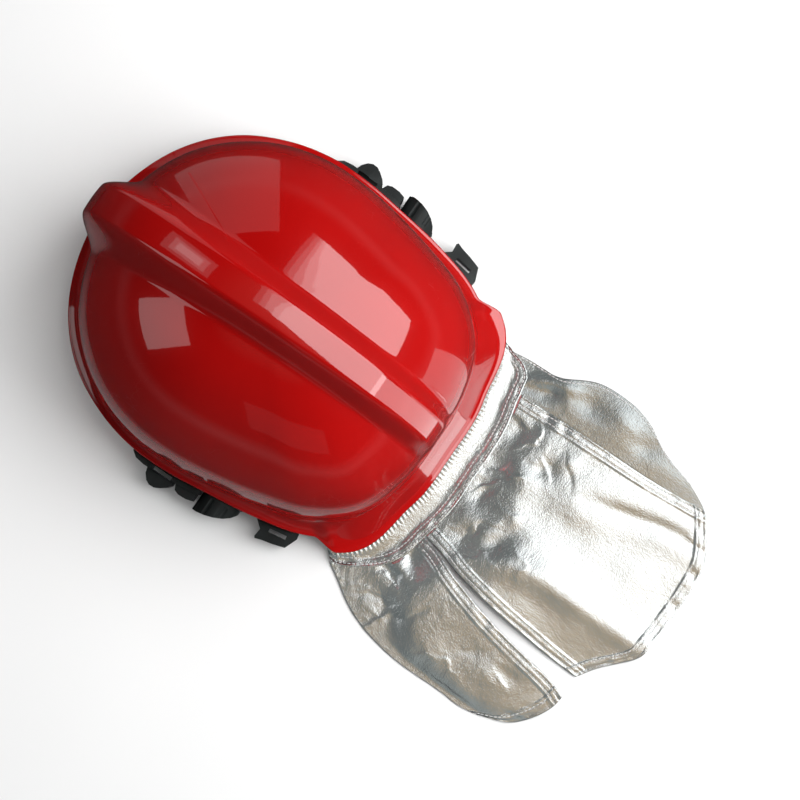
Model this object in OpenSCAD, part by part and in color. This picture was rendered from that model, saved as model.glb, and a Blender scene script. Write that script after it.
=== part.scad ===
// Fire helmet with a crested shell, a visor that retracts inside it and an aluminised neck cape.
// Millimetres. Front is -Y, rear is +Y, the wearer's left is +X, the helmet stands upright on z = 0.

/* [Shell] */
// Thickness of the moulded shell wall
wall_t = 3; // [2.5:0.1:3.5]
// Height of the dome at the middle, without the crest
dome_h = 154; // [150:1:160]
// Fullness of the dome, 2 is an ellipse
dome_p = 2.1; // [2.05:0.05:2.3]
// How far the crest stands out of the dome, as a share of its table of heights
crest_k = 1; // [0.8:0.05:1.2]
// Thickness of the flange at the rim
flange_t = 4; // [3:0.5:5]

/* [Visor] */
// Largest radius of the lens about its pivots
visor_r = 163; // [161:0.5:164]
// Thickness of the lens
visor_t = 2; // [1.5:0.1:2.5]
// Half width over the two arms of the lens
visor_hw = 100.5; // [98:0.5:101]
// Lower edge of the stored lens, in degrees above the pivots
visor_lo = 6; // [5:0.5:8]
// Upper edge of the stored lens, in degrees above the pivots
visor_hi = 41; // [38:1:42]
// Radius of the pivot bolt
pivot_r = 4; // [3.5:0.1:4.5]

/* [Headband] */
// Half width of the headband
band_hw = 80; // [78:0.5:81]
// Length of the front half of the headband
band_front = 112; // [108:1:113]
// Thickness of the plastic band
band_t = 1.8; // [1.4:0.1:2]
// Teeth on the adjuster's pinion, an even number
pin_teeth = 10; // [10:2:12]
// Module of the adjuster's teeth
pin_m = 1; // [0.9:0.05:1.1]
// Radius of the adjuster's dial
dial_r = 13; // [12:0.5:14]

/* [Straps] */
// Width of the chin strap's webbing
strap_w = 18; // [15:1:20]
// Thickness of the webbing
strap_t = 1.6; // [1.2:0.1:2]

/* [Cape] */
// Height of the space that the folded cape fills
cape_t = 9; // [6:0.5:12]

/* [Hidden] */
$fn = 48;
// The plan centre of the shell lies this far in front of the frame's origin
oy = 98.4;
RED = "#c4141a";
BLACK = "#222426";
SILVER = "#c9cccf";
GREY = "#8a8d90";

// Plan radii and heights round the helmet, every 15 degrees from the front to the rear
wall_tab = [131.5, 131.5, 130.5, 127.5, 123.5, 119, 115.5, 115.5, 121, 132, 140.5, 139.5, 137];
edge_tab = [142, 141, 139.5, 136, 130.5, 125.5, 121.5, 122, 130.5, 145, 156, 156, 152.5];
foot_tab = [44, 44, 43, 42, 42, 42, 42, 42, 43, 46, 46, 44, 42];
rim_tab = [35, 35, 35, 36, 36, 36, 36, 35, 31, 20, 11, 9, 9];
under_tab = [31, 31, 31, 32, 32, 32, 32, 31, 27, 27, 35, 33, 31];
skirt_tab = [29, 29, 29, 27, 18, 4, 0, 0, 1, 14, 33, 31, 29];
// Height and half width of the crest, every 15 degrees from the front foot over the top to the rear foot
crest_tab = [9, 17, 21, 20, 17, 15, 14, 13.5, 13, 11.5, 8, 3.5, 0];
crestw_tab = [31, 31, 30, 29, 28, 26.5, 25, 24, 23, 22, 21, 20, 19];
// Outer plan radii of the foam liner
liner_tab = [113, 113, 112, 108, 102, 96.5, 94.5, 95.5, 101, 112, 122, 125, 125];

// Pivot of the visor
pv_y = 39.5;
pv_z = 15;
// Centre of the round rear part of the headband
bc_y = 17;
// Height of the adjuster's axis
dial_z = 38;
// Middle radius of the rack bands
rack_r = band_hw + 1.2;
// Pitch radius of the pinion
pin_r = pin_teeth * pin_m / 2;

function sgn(v) = v < 0 ? -1 : 1;
function fold(th) = let(a = ((th % 360) + 360) % 360) a > 180 ? 360 - a : a;
function cat(a, b, c, d, s) = 0.5 * (2 * b + (c - a) * s + (2 * a - 5 * b + 4 * c - d) * s * s + (3 * b - a - 3 * c + d) * s * s * s);
function tab(t, th) = let(f = fold(th) / 15, i = min(floor(f), 11), s = f - i)
  cat(t[i == 0 ? 1 : i - 1], t[i], t[i + 1], t[i + 2 > 12 ? 11 : i + 2], s);
function smooth(a, b, x) = let(t = max(0, min(1, (x - a) / (b - a)))) t * t * (3 - 2 * t);
function plan(th, r, z) = [r * sin(th), -r * cos(th), z];

function wall_r(th) = tab(wall_tab, th);
// The rear corners of the rim stand out as rounded lobes
function edge_r(th) = tab(edge_tab, th) + 11 * smooth(136, 141, fold(th)) * (1 - smooth(143, 163, fold(th)));
function rim_z(th) = tab(rim_tab, th);
function skirt_z(th) = max(0, tab(skirt_tab, th));

// Outline across the crest, 1 on the top and 0 at the foot of its flanks
function crest_form(t) = t >= 1 ? 0 : 1 - smooth(0.32, 1, t) - 0.12 * t * t * (1 - t);
// Moves a point of the dome outwards, where it lies on the crest
function crested(p, zw, top, k) = let(
  y = p[1] / (p[1] < 0 ? 131.5 : 137), u = max(0, min(1, (p[2] - zw) / (top - zw))),
  phi = atan2(u, -y), ny = sgn(y) * pow(abs(y), 1.2) / 132, nz = pow(u, 1.2) / (top - zw),
  n = sqrt(ny * ny + nz * nz), g = crest_form(abs(p[0]) / tab(crestw_tab, phi)) * tab(crest_tab, phi) * crest_k * k)
  n < 1e-9 ? p : [p[0], p[1] + g * ny / n, p[2] + g * nz / n];

// Columns of the shell lie closest together where they cross the crest and the corners of the rim
side_th = concat([for (a = [26:6:128]) a], [131, 133.5, 135.5, 137, 138.5, 140, 142, 145, 149, 154]);
shell_th = concat([for (a = [-20:2.5:20]) a], side_th, [for (a = [160:2.5:200]) a], [for (i = [len(side_th) - 1:-1:0]) 360 - side_th[i]]);
dome_n = 17;
inner_n = 12;
function dome_row(th, r0, zw, top, j, n) = let(a = 90 * (1 - pow(j / n, 1.4)),
  u = pow(sin(a), 2 / dome_p), c = pow(cos(a), 2 / dome_p)) plan(th, r0 * c, zw + (top - zw) * u);
function shell_column(th) = let(
  rw = wall_r(th), ro = edge_r(th), zw = tab(foot_tab, th), ze = rim_z(th), zb = tab(under_tab, th), zs = skirt_z(th), f = ro - 1.5 - rw)
  concat(
    [for (j = [1:dome_n]) crested(dome_row(th, rw, zw, dome_h, j, dome_n), zw, dome_h, 1)],
    [for (k = [1:4]) let(a = 70 * k / 4) crested(plan(th, rw + f * (1 - cos(a)) / (1 - cos(70)), zw - (zw - ze) * sin(a) / sin(70)), zw, dome_h, 1 - k / 4)],
    [plan(th, ro, ze - 1.2), plan(th, ro, ze - flange_t + 1), plan(th, ro - 1.5, ze - flange_t),
     plan(th, rw, zb), plan(th, rw, min(zs, zb - 2)), plan(th, rw - wall_t, min(zs, zb - 2))],
    [for (j = [inner_n:-1:1]) crested(dome_row(th, rw - wall_t, zw, dome_h - wall_t, j, inner_n), zw, dome_h - wall_t, 0.97)]);

// A closed skin from one pole over the rows of every column to the other pole
module skin(top, cols, bottom) {
  n = len(cols); m = len(cols[0]);
  pts = concat([top], [for (c = cols) each c], [bottom]);
  function at(i, j) = 1 + (i % n) * m + j;
  polyhedron(pts, concat(
    [for (i = [0:n-1]) [0, at(i + 1, 0), at(i, 0)]],
    [for (i = [0:n-1], j = [0:m-2]) each [[at(i, j), at(i + 1, j), at(i + 1, j + 1)], [at(i, j), at(i + 1, j + 1), at(i, j + 1)]]],
    [for (i = [0:n-1]) [1 + n * m, at(i, m - 1), at(i + 1, m - 1)]]));
}
// A closed bar through rings of points, with flat ends
module bar(rings) {
  n = len(rings); m = len(rings[0]);
  function at(i, j) = i * m + j % m;
  polyhedron([for (r = rings) each r], concat(
    [[for (j = [0:m-1]) m - 1 - j], [for (j = [0:m-1]) at(n - 1, j)]],
    [for (i = [0:n-2], j = [0:m-1]) each [[at(i, j), at(i, j + 1), at(i + 1, j + 1)], [at(i, j), at(i + 1, j + 1), at(i + 1, j)]]]));
}
function unit(v) = v / norm(v);
// Flat webbing along a path, with its width direction at each point
module ribbon(path, wide, w, t) {
  n = len(path);
  bar([for (i = [0:n-1]) let(
    d = unit(path[min(i + 1, n - 1)] - path[max(i - 1, 0)]), e = unit(wide[i] - d * (wide[i] * d)), q = cross(d, e))
    [path[i] - e * w / 2 - q * t / 2, path[i] - e * w / 2 + q * t / 2, path[i] + e * w / 2 + q * t / 2, path[i] + e * w / 2 - q * t / 2]]);
}
// A cylinder along X between two stations
module rod_x(x0, x1, y, z, r) translate([x0, y, z]) rotate([0, 90, 0]) cylinder(h = x1 - x0, r = r);
module both() { children(); mirror([1, 0, 0]) children(); }
module place() translate([0, -oy, 0]) children();

// ---- shell ----
screw_y = [-23, 14];
stud_th = [152, 166, 180, 194, 208];
// A cylinder along the radius at one angle, between two distances from the wall
module stud_rod(a, d0, d1, r, z = 40) rotate([0, 0, a]) translate([0, -wall_r(a) - d0, z]) rotate([90, 0, 0]) cylinder(h = d1 - d0, r = r, $fn = 24);
// Places a rivet's axis square to the wall where the rear leg of the chin strap hangs
module rivet_at() translate([97.7, 65.4, 17]) rotate([0, 0, 19]) children();
module outer_shell() place() color(RED) difference() {
  skin(crested([0, 0, dome_h], 44, dome_h, 1), [for (a = shell_th) shell_column(a)], crested([0, 0, dome_h - wall_t], 44, dome_h - wall_t, 0.97));
  both() {
    rod_x(95, 130, pv_y, pv_z, pivot_r + 0.1);
    for (y = screw_y) rod_x(100, 130, y, 16, 2.1);
    rod_x(90, 120, 72, 12, 2.1);
    rivet_at() rod_x(-3, 9, 0, 0, 2.6);
  }
  for (a = stud_th) stud_rod(a, -9, -1.1, 1.9);
}

// ---- visor ----
function lens_r(x) = let(t = min(1, abs(x) / visor_hw)) visor_r * pow(max(0, 1 - pow(t, 2.6)), 1 / 3);
// Stations across the lens lie closer together where it turns into the arms
lens_x = [for (i = [0:30]) visor_hw * sin(90 * i / 30 * 0.995)];
arm_r = 20;
module lens_half(dr, t) polygon(concat([for (x = lens_x) [lens_r(x) + dr, x]], [[arm_r, visor_hw], [arm_r, visor_hw - t]],
  [for (i = [30:-1:0]) let(x = lens_x[i] * (visor_hw - t) / visor_hw) [lens_r(x * visor_hw / (visor_hw - t)) + dr - t, x]]));
// Turns a profile about the line of the pivots, from one angle above the front to another
module about_pivot(a0, a1) translate([0, pv_y, pv_z]) rotate([0, 90, 0]) rotate([0, 0, -90 - a1 + 0]) rotate_extrude(angle = a1 - a0, $fn = 180) children();
module visor_lens() place() color([0.75, 0.82, 0.86, 0.5]) difference() {
  union() {
    about_pivot(visor_lo, visor_hi) { lens_half(0, visor_t); mirror([0, 1]) lens_half(0, visor_t); }
    both() {
      rod_x(visor_hw - visor_t, visor_hw, pv_y, pv_z, 14);
      about_pivot(visor_lo, visor_hi) translate([6, visor_hw - visor_t]) square([arm_r, visor_t]);
    }
  }
  both() rod_x(visor_hw - visor_t - 1, visor_hw + 1, pv_y, pv_z, pivot_r + 0.06);
}
module trim_profile() polygon(concat([for (i = [0:27]) [lens_r(lens_x[i]) + 1.2, lens_x[i]]], [for (i = [27:-1:0]) [lens_r(lens_x[i]) - visor_t - 1.4, lens_x[i] * 0.99]]));
module visor_edge_trim() place() color(BLACK) about_pivot(visor_lo - 2.2, visor_lo - 0.02) { trim_profile(); mirror([0, 1]) trim_profile(); }
module hub() difference() {
  union() { rod_x(visor_hw - visor_t - 1.8, visor_hw - visor_t - 0.05, pv_y, pv_z, 11.5); rod_x(visor_hw - visor_t - 2.6, visor_hw - visor_t - 1.7, pv_y, pv_z, 9.5); }
  rod_x(90, 110, pv_y, pv_z, pivot_r + 0.06);
}
module visor_hub_left() place() color(BLACK) hub();
module visor_hub_right() place() color(BLACK) mirror([1, 0, 0]) hub();
// Stepped bolt: its inner end also carries the front leg of the chin strap
module bolt() {
  rod_x(94.5, 126.5, pv_y, pv_z, pivot_r);
  rod_x(91, 94.6, pv_y, pv_z, 7.5);
  rod_x(88.3, 91.1, pv_y, pv_z, 2.5);
  rod_x(86.9, 88.4, pv_y, pv_z, 4.5);
}
module pivot_bolt_left() place() color(GREY) bolt();
module pivot_bolt_right() place() color(GREY) mirror([1, 0, 0]) bolt();
module pivot_spacers() place() color(GREY) both() difference() { rod_x(visor_hw + 0.2, 104, pv_y, pv_z, 7.5); rod_x(90, 120, pv_y, pv_z, pivot_r + 0.1); }

// ---- side fittings ----
seat_x = 115.5;
knob_x0 = seat_x + 0.3;
// Outline of the knob from above
knob_plan = [[knob_x0, 23], [132, 23], [133, 25.6], [132.8, 29], [131.6, 35], [129.6, 41], [126.8, 46.6], [123.4, 50.6], [119.2, 53.6], [knob_x0, 55]];
module knob() difference() {
  intersection() {
    rod_x(knob_x0, 134, pv_y, pv_z, 14.4);
    linear_extrude(40) polygon(knob_plan);
  }
  for (a = [0:45:315]) rod_x(knob_x0 + 3.5, 140, pv_y + 16.2 * cos(a + 22.5), pv_z + 16.2 * sin(a + 22.5), 2.6);
  rod_x(knob_x0 - 1, 127.5, pv_y, pv_z, pivot_r + 0.06);
  rod_x(127.4, 140, pv_y - 4, pv_z, 5.6);
}
module visor_knob_left() place() color(BLACK) knob();
module visor_knob_right() place() color(BLACK) mirror([1, 0, 0]) knob();
module knob_cap_left() place() color(GREY) rod_x(127.5, 128.9, pv_y - 4, pv_z, 5.2);
module knob_cap_right() place() color(GREY) mirror([1, 0, 0]) rod_x(127.5, 128.9, pv_y - 4, pv_z, 5.2);

function wall_pt(th, d) = let(p = plan(th, wall_r(th) + d, 0)) [p[0], p[1]];
rail_plan = concat([for (a = [73:4:117]) wall_pt(a, 0.15)],
  [[108.4, 55.6], [seat_x, 54.8], [seat_x, 24.2], [122.2, 24.2], [124.6, 14], [125.4, 4], [126.2, -8], [126.6, -19], [125.6, -26], [122.6, -30.2], [118.5, -31.5]]);
lug_plan = [[120, -16.5], [125, -16.6], [130.6, -14.8], [134.4, -11.6], [136, -8.2], [135.8, -4.6], [134, -1.2], [130.6, 3.2], [128, 5.2], [120, 5.4]];
block_plan = [[118, 7], [124.8, 6.6], [129, 8.6], [130.2, 12], [130, 18], [128.6, 22.8], [118, 23]];
module bracket() difference() {
  union() {
    translate([0, 0, 3]) linear_extrude(24) polygon(rail_plan);
    translate([0, 0, 7]) linear_extrude(16) polygon(lug_plan);
    translate([0, 0, 4]) linear_extrude(21.5) polygon(block_plan);
  }
  rod_x(100, 130, pv_y, pv_z, pivot_r + 0.1);
  for (y = screw_y) { rod_x(100, 140, y, 16, 2.1); rod_x(123.4, 140, y, 16, 4.4); }
  // slot for a goggle or lamp strap behind the lug
  translate([122.8, -13.5, 2]) cube([3.2, 16, 26]);
}
module side_bracket_left() place() color(BLACK) bracket();
module side_bracket_right() place() color(BLACK) mirror([1, 0, 0]) bracket();
module bracket_screws() place() color(GREY) both() for (y = screw_y) difference() {
  union() { rod_x(105, 123.5, y, 16, 2); rod_x(123.4, 125.2, y, 16, 4); }
  translate([124.4, y - 0.5, 13]) cube([3, 1, 6]);
}

clip_base = concat([for (a = [119:3:131]) wall_pt(a, 0.15)], [[101.5, 94], [106.5, 95], [109.5, 92], [112.8, 70], [110.6, 64.6], [107.6, 62.5]]);
clip_arm = [[105.5, 96.2], [109.6, 97], [119, 93.3], [121.8, 84.4], [123.6, 76.7], [125.2, 72.2], [123.9, 71.2], [117.8, 71.8], [113.8, 66.8], [112.6, 65.6], [110, 70]];
module clip() difference() {
  union() {
    translate([0, 0, 7]) linear_extrude(9.5) polygon(clip_base);
    translate([0, 0, 6.4]) linear_extrude(10.6) polygon(clip_arm);
  }
  rod_x(85, 130, 72, 12, 2.1);
  rod_x(110.5, 130, 72, 12, 3.5);
  translate([113.6, 77, 4]) rotate([0, 0, 9]) cube([2.8, 13, 24]);
}
module rear_clip_left() place() color(BLACK) clip();
module rear_clip_right() place() color(BLACK) mirror([1, 0, 0]) clip();
module clip_screws() place() color(GREY) both() difference() {
  union() { rod_x(97.6, 110.8, 72, 12, 2); rod_x(110.6, 112.2, 72, 12, 3.3); }
  translate([111.4, 71.5, 8]) cube([3, 1, 8]);
}

// ---- foam liner ----
// Draws a point back behind the path of the lens
function behind_lens(p, gap) = let(dy = p[1] - pv_y, dz = p[2] - pv_z, r = norm([dy, dz]), a = atan2(dz, -dy),
  lim = lens_r(min(abs(p[0]) + 3.5, visor_hw * 0.97)) - gap + max(0, a - visor_hi - 5) * 2.2)
  (r > lim && p[1] < pv_y) ? [p[0], pv_y + dy * lim / r, pv_z + dz * lim / r] : p;
liner_z = [46, 46, 46, 46, 46, 48, 53, 54, 54, 56, 58, 58, 58];
function liner_column(th) = let(r = tab(liner_tab, th), z = tab(liner_z, th)) concat(
  [for (j = [1:10]) behind_lens(dome_row(th, r, z, 147, j, 10), 6)],
  [for (j = [9:-1:1]) behind_lens(dome_row(th, r - 12, z, 133, j, 9), 16.5)]);
// Anchors of the crown straps at the rear, pressed into the foam
anchor_th = 150;
module anchor_rod(d0, d1, r) both() rotate([0, 0, anchor_th]) translate([0, -108 - d0, 68]) rotate([90, 0, 0]) cylinder(h = d1 - d0, r = r, $fn = 24);
module impact_liner() place() color("#3a3c3f") difference() {
  skin([0, 0, 147], [for (a = [0:7.5:352.5]) liner_column(a)], [0, 0, 133]);
  anchor_rod(-14, 7, 1.6);
}

// ---- harness ----
// A point of the headband's outline: an ellipse in front, a circle behind
function band_pt(b, d) = [(band_hw + d) * sin(b), bc_y - ((cos(b) > 0 ? band_front : band_hw) + d) * cos(b)];
module band_arc(b0, b1, d0, d1, z0, z1, step = 4) translate([0, 0, z0]) linear_extrude(z1 - z0) polygon(concat(
  [for (b = [b0:step:b1]) band_pt(b, d0)], [for (b = [b1:-step:b0]) band_pt(b, d1)]));
module headband() place() color(BLACK) difference() {
  union() {
    band_arc(-100, 100, -band_t, 0, 26, 56);
    both() band_arc(84, 104, -band_t, 0, 21, 56);
  }
  // ventilation slots across the brow
  for (b = [-36:24:36]) let(p = band_pt(b, -1)) translate([p[0], p[1], 50]) rotate([0, 0, b]) cube([10, 12, 3], center = true);
}
module brow_sweatband() place() color("#4b4640") band_arc(-64, 64, -band_t - 4.2, -band_t - 0.2, 24, 58);
hook_b = [-76, -36, 36, 76];
// Hooks over the top edge of the band carry the crown straps in front, anchors in the foam carry them at the rear
module suspension_hooks() place() color(BLACK) {
  for (b = hook_b) let(p = band_pt(b, 0.3), t = abs(b) == 36 ? 45 : 80) translate([p[0], p[1], 0]) rotate([0, 0, sgn(b) * t]) {
    translate([-7, -2.4, 40]) cube([14, 2.2, 20]);
    translate([-7, -0.3, 58.5]) cube([14, 8, 1.5]);
  }
  anchor_rod(-5.6, 6.6, 1.5);
  both() rotate([0, 0, anchor_th]) translate([-8, -103.4, 60]) cube([16, 1.6, 16]);
}
// Textile straps over the crown, each from a hook or an anchor to the one across from it
module crown_strap(p0, p1, top, w) {
  c = [0, 6, top];
  function arc(p, a) = [p[0] + (c[0] - p[0]) * (1 - cos(a)), p[1] + (c[1] - p[1]) * (1 - cos(a)), p[2] + (c[2] - p[2]) * pow(sin(a), 0.85)];
  path = concat([for (a = [0:9:90]) arc(p0, a)], [for (a = [81:-9:0]) arc(p1, a)]);
  d = unit([p1[0] - p0[0], p1[1] - p0[1], 0]);
  ribbon(path, [for (p = path) [-d[1], d[0], 0]], w, 1.2);
}
function hook_foot(b) = let(p = band_pt(b, -band_t - 2)) [p[0], p[1], 60.3];
function anchor_foot(s) = [s * 100 * sin(anchor_th), -100 * cos(anchor_th), 62];
module crown_strap_cross() place() color(SILVER) crown_strap(hook_foot(76), hook_foot(-76), 118, 20);
module crown_strap_diagonal_a() place() color(SILVER) crown_strap(hook_foot(36), anchor_foot(-1), 120, 20);
module crown_strap_diagonal_b() place() color(SILVER) crown_strap(hook_foot(-36), anchor_foot(1), 122, 20);
module crown_pad() place() color("#4b4640") translate([0, 6, 106.5]) difference() {
  rotate_extrude() polygon([[0, 0], [30, 0], [33, 1], [34, 2.6], [33, 4.2], [30, 5], [0, 5]]);
  for (a = [0:60:300]) rotate([0, 0, a]) translate([20, 0, -1]) cylinder(h = 8, r = 4);
}

// ---- adjuster ----
// Involute pinion with shallow 28 degree teeth
function inv_pt(rb, r, half) = let(t = sqrt(max(0, pow(r / rb, 2) - 1)), a = half - (t * 180 / PI - atan(t))) [r, a];
module pinion_2d() {
  pa = 28; rb = pin_r * cos(pa); ro = pin_r + 0.8 * pin_m; rr = pin_r - 1.0 * pin_m;
  ip = tan(pa) * 180 / PI - pa;
  half = 90 / pin_teeth - 0.9 + ip;
  prof = concat([[rr, half]], [for (k = [0:4]) inv_pt(rb, rb + (ro - rb) * k / 4, half)]);
  polygon([for (i = [0:pin_teeth-1]) each concat(
    [for (q = prof) let(a = i * 360 / pin_teeth - q[1]) [q[0] * sin(a), q[0] * cos(a)]],
    [for (k = [len(prof)-1:-1:0]) let(q = prof[k], a = i * 360 / pin_teeth + q[1]) [q[0] * sin(a), q[0] * cos(a)]])]);
}
rear_y = bc_y + band_hw;
module along_y(y0, y1, z = dial_z) translate([0, y1, z]) rotate([90, 0, 0]) linear_extrude(y1 - y0) children();
module ratchet_pinion() place() color(GREY) { along_y(rear_y + 0.3, rear_y + 2.2) pinion_2d(); along_y(rear_y - 1.4, rear_y + 0.3) circle(r = 2.2); along_y(rear_y + 2.2, rear_y + 8) circle(r = 3); }
module ratchet_dial() place() color(BLACK) difference() {
  translate([0, rear_y + 6.6, dial_z]) rotate([-90, 0, 0]) rotate_extrude() polygon([[0, 1.4], [3, 1.4], [3, 0], [12, 0], [dial_r, 1], [dial_r, 8.6], [dial_r - 1.6, 10], [6, 10.6], [0, 10.8]]);
  for (a = [0:30:330]) translate([0, 0, dial_z]) rotate([0, a, 0]) translate([0, rear_y, dial_r + 1.1]) rotate([-90, 0, 0]) cylinder(h = 30, r = 2, $fn = 24);
}
tooth_deg = PI * pin_m / rack_r * 180 / PI;
module rack_tooth(up) {
  h = 0.8 * pin_m; b = PI * pin_m / 4 - 0.08; k = tan(28);
  translate([0, rack_r - 0.8, 0]) rotate([90, 0, 0]) mirror([0, up ? 0 : 1]) linear_extrude(1.6, center = true)
    polygon([[-b - 1.2 * k, -1.2], [-b + h * k, h], [b - h * k, h], [b + 1.2 * k, -1.2]]);
}
// A band on the rear circle with a toothed edge that runs on the pinion
module rack_band(z0, z1, edge, up) {
  translate([0, bc_y, 0]) {
    translate([0, 0, z0]) linear_extrude(z1 - z0) polygon(concat(
      [for (a = [-9:3:96]) [(rack_r - 0.8) * sin(a), (rack_r - 0.8) * cos(a)]], [for (a = [96:-3:-9]) [(rack_r + 0.8) * sin(a), (rack_r + 0.8) * cos(a)]]));
    for (i = [-3:2]) rotate([0, 0, -(i + 0.5) * tooth_deg + 0]) translate([0, 0.8, edge]) rack_tooth(up);
  }
}
rack_lo = -2;
rack_hi = 9;
module rack_left() {
  translate([0, bc_y, 0]) {
    translate([0, 0, dial_z + pin_r + 0.95 * pin_m]) linear_extrude(8) polygon(concat(
      [for (a = [-12:3:96]) [(rack_r - 0.8) * sin(a), (rack_r - 0.8) * cos(a)]], [for (a = [96:-3:-12]) [(rack_r + 0.8) * sin(a), (rack_r + 0.8) * cos(a)]]));
    for (i = [-2:5]) rotate([0, 0, -(i + 0.5) * tooth_deg]) translate([0, 0.8, dial_z + pin_r]) rack_tooth(false);
  }
}
module rack_band_left() place() color(GREY) rack_left();
module rack_band_right() place() color(GREY) translate([0, 0, 2 * dial_z]) rotate([0, 180, 0]) rack_left();
module housing_arc(b0, b1, r0, r1, z0, z1) translate([0, bc_y, z0]) linear_extrude(z1 - z0) polygon(concat(
  [for (a = [b0:2:b1]) [r0 * sin(a), r0 * cos(a)]], [for (a = [b1:-2:b0]) [r1 * sin(a), r1 * cos(a)]]));
module ratchet_housing() place() color(BLACK) difference() {
  union() {
    housing_arc(-22, 22, rack_r - 3.2, rack_r - 1.15, 19, 57);
    housing_arc(-22, 22, rack_r - 1.2, rack_r + 2.8, 55, 57);
    housing_arc(-22, 22, rack_r - 1.2, rack_r + 2.8, 19, 21);
  }
  along_y(rear_y - 4, rear_y + 2) circle(r = 2.26);
}
module ratchet_cover() place() color(BLACK) difference() {
  housing_arc(-22, 22, rack_r + 2.85, rack_r + 5, 19, 57);
  along_y(rear_y, rear_y + 12) circle(r = 3.06);
}
module nape_pad() place() color("#4b4640") housing_arc(-26, 26, rack_r - 8, rack_r - 3.4, 20, 56);

// ---- chin strap ----
module leg(path) ribbon(path, [for (p = path) [0, 1, 0]], strap_w, strap_t);
// Front leg from the pivot bolt, rear leg from its own rivet, both down to the slider on the floor
module chin_side() difference() {
  union() {
    leg([[90, pv_y, 22], [90, pv_y, 13], [88.8, pv_y - 1, 7], [85, 36.6, 4], [80, 33.6, 3.4], [74, 29.2, 3.4], [71, 28.1, 3.4], [67.6, 28, 3.4]]);
    ribbon([[97.6, 65.4, 24], [97.4, 65.3, 12], [96, 63, 5], [92.6, 57.2, 2], [87, 46, 1.5], [81.3, 36, 1.5], [77.7, 31.2, 1.5], [72.9, 28.15, 1.5], [67.6, 28, 1.5]],
      [[-0.33, 0.94, 0], [-0.33, 0.94, 0], [-0.33, 0.94, 0], [-0.8, 0.6, 0], [-0.87, 0.5, 0], [-0.8, 0.6, 0], [-0.6, 0.8, 0], [-0.2, 1, 0], [0, 1, 0]], strap_w, strap_t);
  }
  rod_x(85, 92, pv_y, pv_z, 2.6);
  rivet_at() rod_x(-3, 3, 0, 0, 2.6);
}
module chin_strap_left() place() color("#2a2b2e") chin_side();
module chin_strap_right() place() color("#2a2b2e") mirror([1, 0, 0]) chin_side();
module strap_rivets() place() color(GREY) both() rivet_at() { rod_x(-1.2, 4.4, 0, 0, 2.5); rod_x(-2.6, -1.1, 0, 0, 5); }
module strap_sliders() place() color(BLACK) both() translate([60, 28, 0]) difference() {
  translate([-7, -14, 0.4]) cube([14, 28, 4.4]);
  translate([-4.6, -10.5, -1]) cube([3.2, 21, 8]);
  translate([1.4, -10.5, -1]) cube([3.2, 21, 8]);
}
module chin_strap_lower() place() color("#2a2b2e") {
  translate([-52.8, 28 - strap_w / 2, 0.8]) cube([68, strap_w, strap_t]);
  translate([42.5, 28 - strap_w / 2, 0.8]) cube([10.2, strap_w, strap_t]);
}
module chin_pad() place() color("#2c2c2e") translate([-18, 28, 2.5]) linear_extrude(5) offset(r = 8) square([44, 16], center = true);
module buckle_body() place() color(BLACK) translate([28.6, 28, 0.4]) difference() {
  translate([-9, -13, 0]) cube([18, 26, 10]);
  translate([-10, -9.2, 3]) cube([14.2, 18.4, 3.2]);
  translate([-4.2, -5.2, 6]) cube([8.4, 10.4, 5]);
}
module buckle_tongue() place() color(SILVER) translate([19.4, 28, 0]) difference() {
  union() { translate([-4, -12, 0.6]) cube([4, 24, 5.6]); translate([-0.1, -8.9, 3.7]) cube([12, 17.8, 2.6]); }
  translate([5, -4, 0]) cube([4, 8, 10]);
}
module buckle_button() place() color("#b3161b") translate([28.6, 28, 8.5]) translate([-3.9, -4.9, 0]) cube([7.8, 9.8, 3.3]);

// ---- neck cape ----
band_end = 140;
// How far the collar reaches past the rim: its right end curls in behind the corner of the shell
function cape_w(th) = th > 180 ? 2 + 24 * smooth(145, 152, fold(th)) : 18 + 8 * smooth(band_end - 1, band_end + 12, th);
function cape_ring(th) = let(rw = wall_r(th), ro = edge_r(th), w = cape_w(th))
  [plan(th, rw - 6.2, 47), plan(th, rw - 3.6, 47), plan(th, rw - 4.2, 8), plan(th, rw - 1, 4.2), plan(th, ro, 4.2), plan(th, ro + w, 4.2),
   plan(th, ro + w, 0.6), plan(th, rw - 3, 0.6), plan(th, rw - 6.8, 6)];
module cape_band() place() color(SILVER) difference() {
  bar([for (a = [band_end:4:360 - band_end]) let(r = cape_ring(a)) [for (i = [8:-1:0]) r[i]]]);
  for (a = stud_th) stud_rod(a, -9, -1, 1.9);
}
module panel(pts) linear_extrude(cape_t) polygon(pts);
// Outer edge of the collar band, where the panels start
function collar_pts(a0, a1) = [for (k = [0:8]) let(a = a0 + (a1 - a0) * k / 8, p = plan(a, edge_r(a) + 26.5, 0)) [p[0], p[1]]];
left_hem = [[78, 240], [89, 300], [94, 311], [106, 309], [121, 301], [132, 288], [136, 271], [136, 240], [136, 205], [134, 186], [125, 160]];
center_hem = [[-70, 321], [-50, 336], [-24, 341], [5, 341], [35, 338], [60, 324], [75, 313]];
right_hem = [[-88, 172], [-90, 186], [-101, 209], [-103, 236], [-98, 256], [-88, 278], [-79, 305], [-71.5, 322]];
module cape_panel_left() place() color(SILVER) panel(concat(collar_pts(142, 159), left_hem));
module cape_panel_center() place() color(SILVER) panel(concat(collar_pts(160, 202), center_hem));
module cape_panel_right() place() color(SILVER) panel(concat(collar_pts(203, 208.5), right_hem));
module cape_studs() place() color(GREY) for (a = stud_th) { stud_rod(a, -7.2, -1.4, 1.8); stud_rod(a, -8.4, -6.9, 5); }

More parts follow.
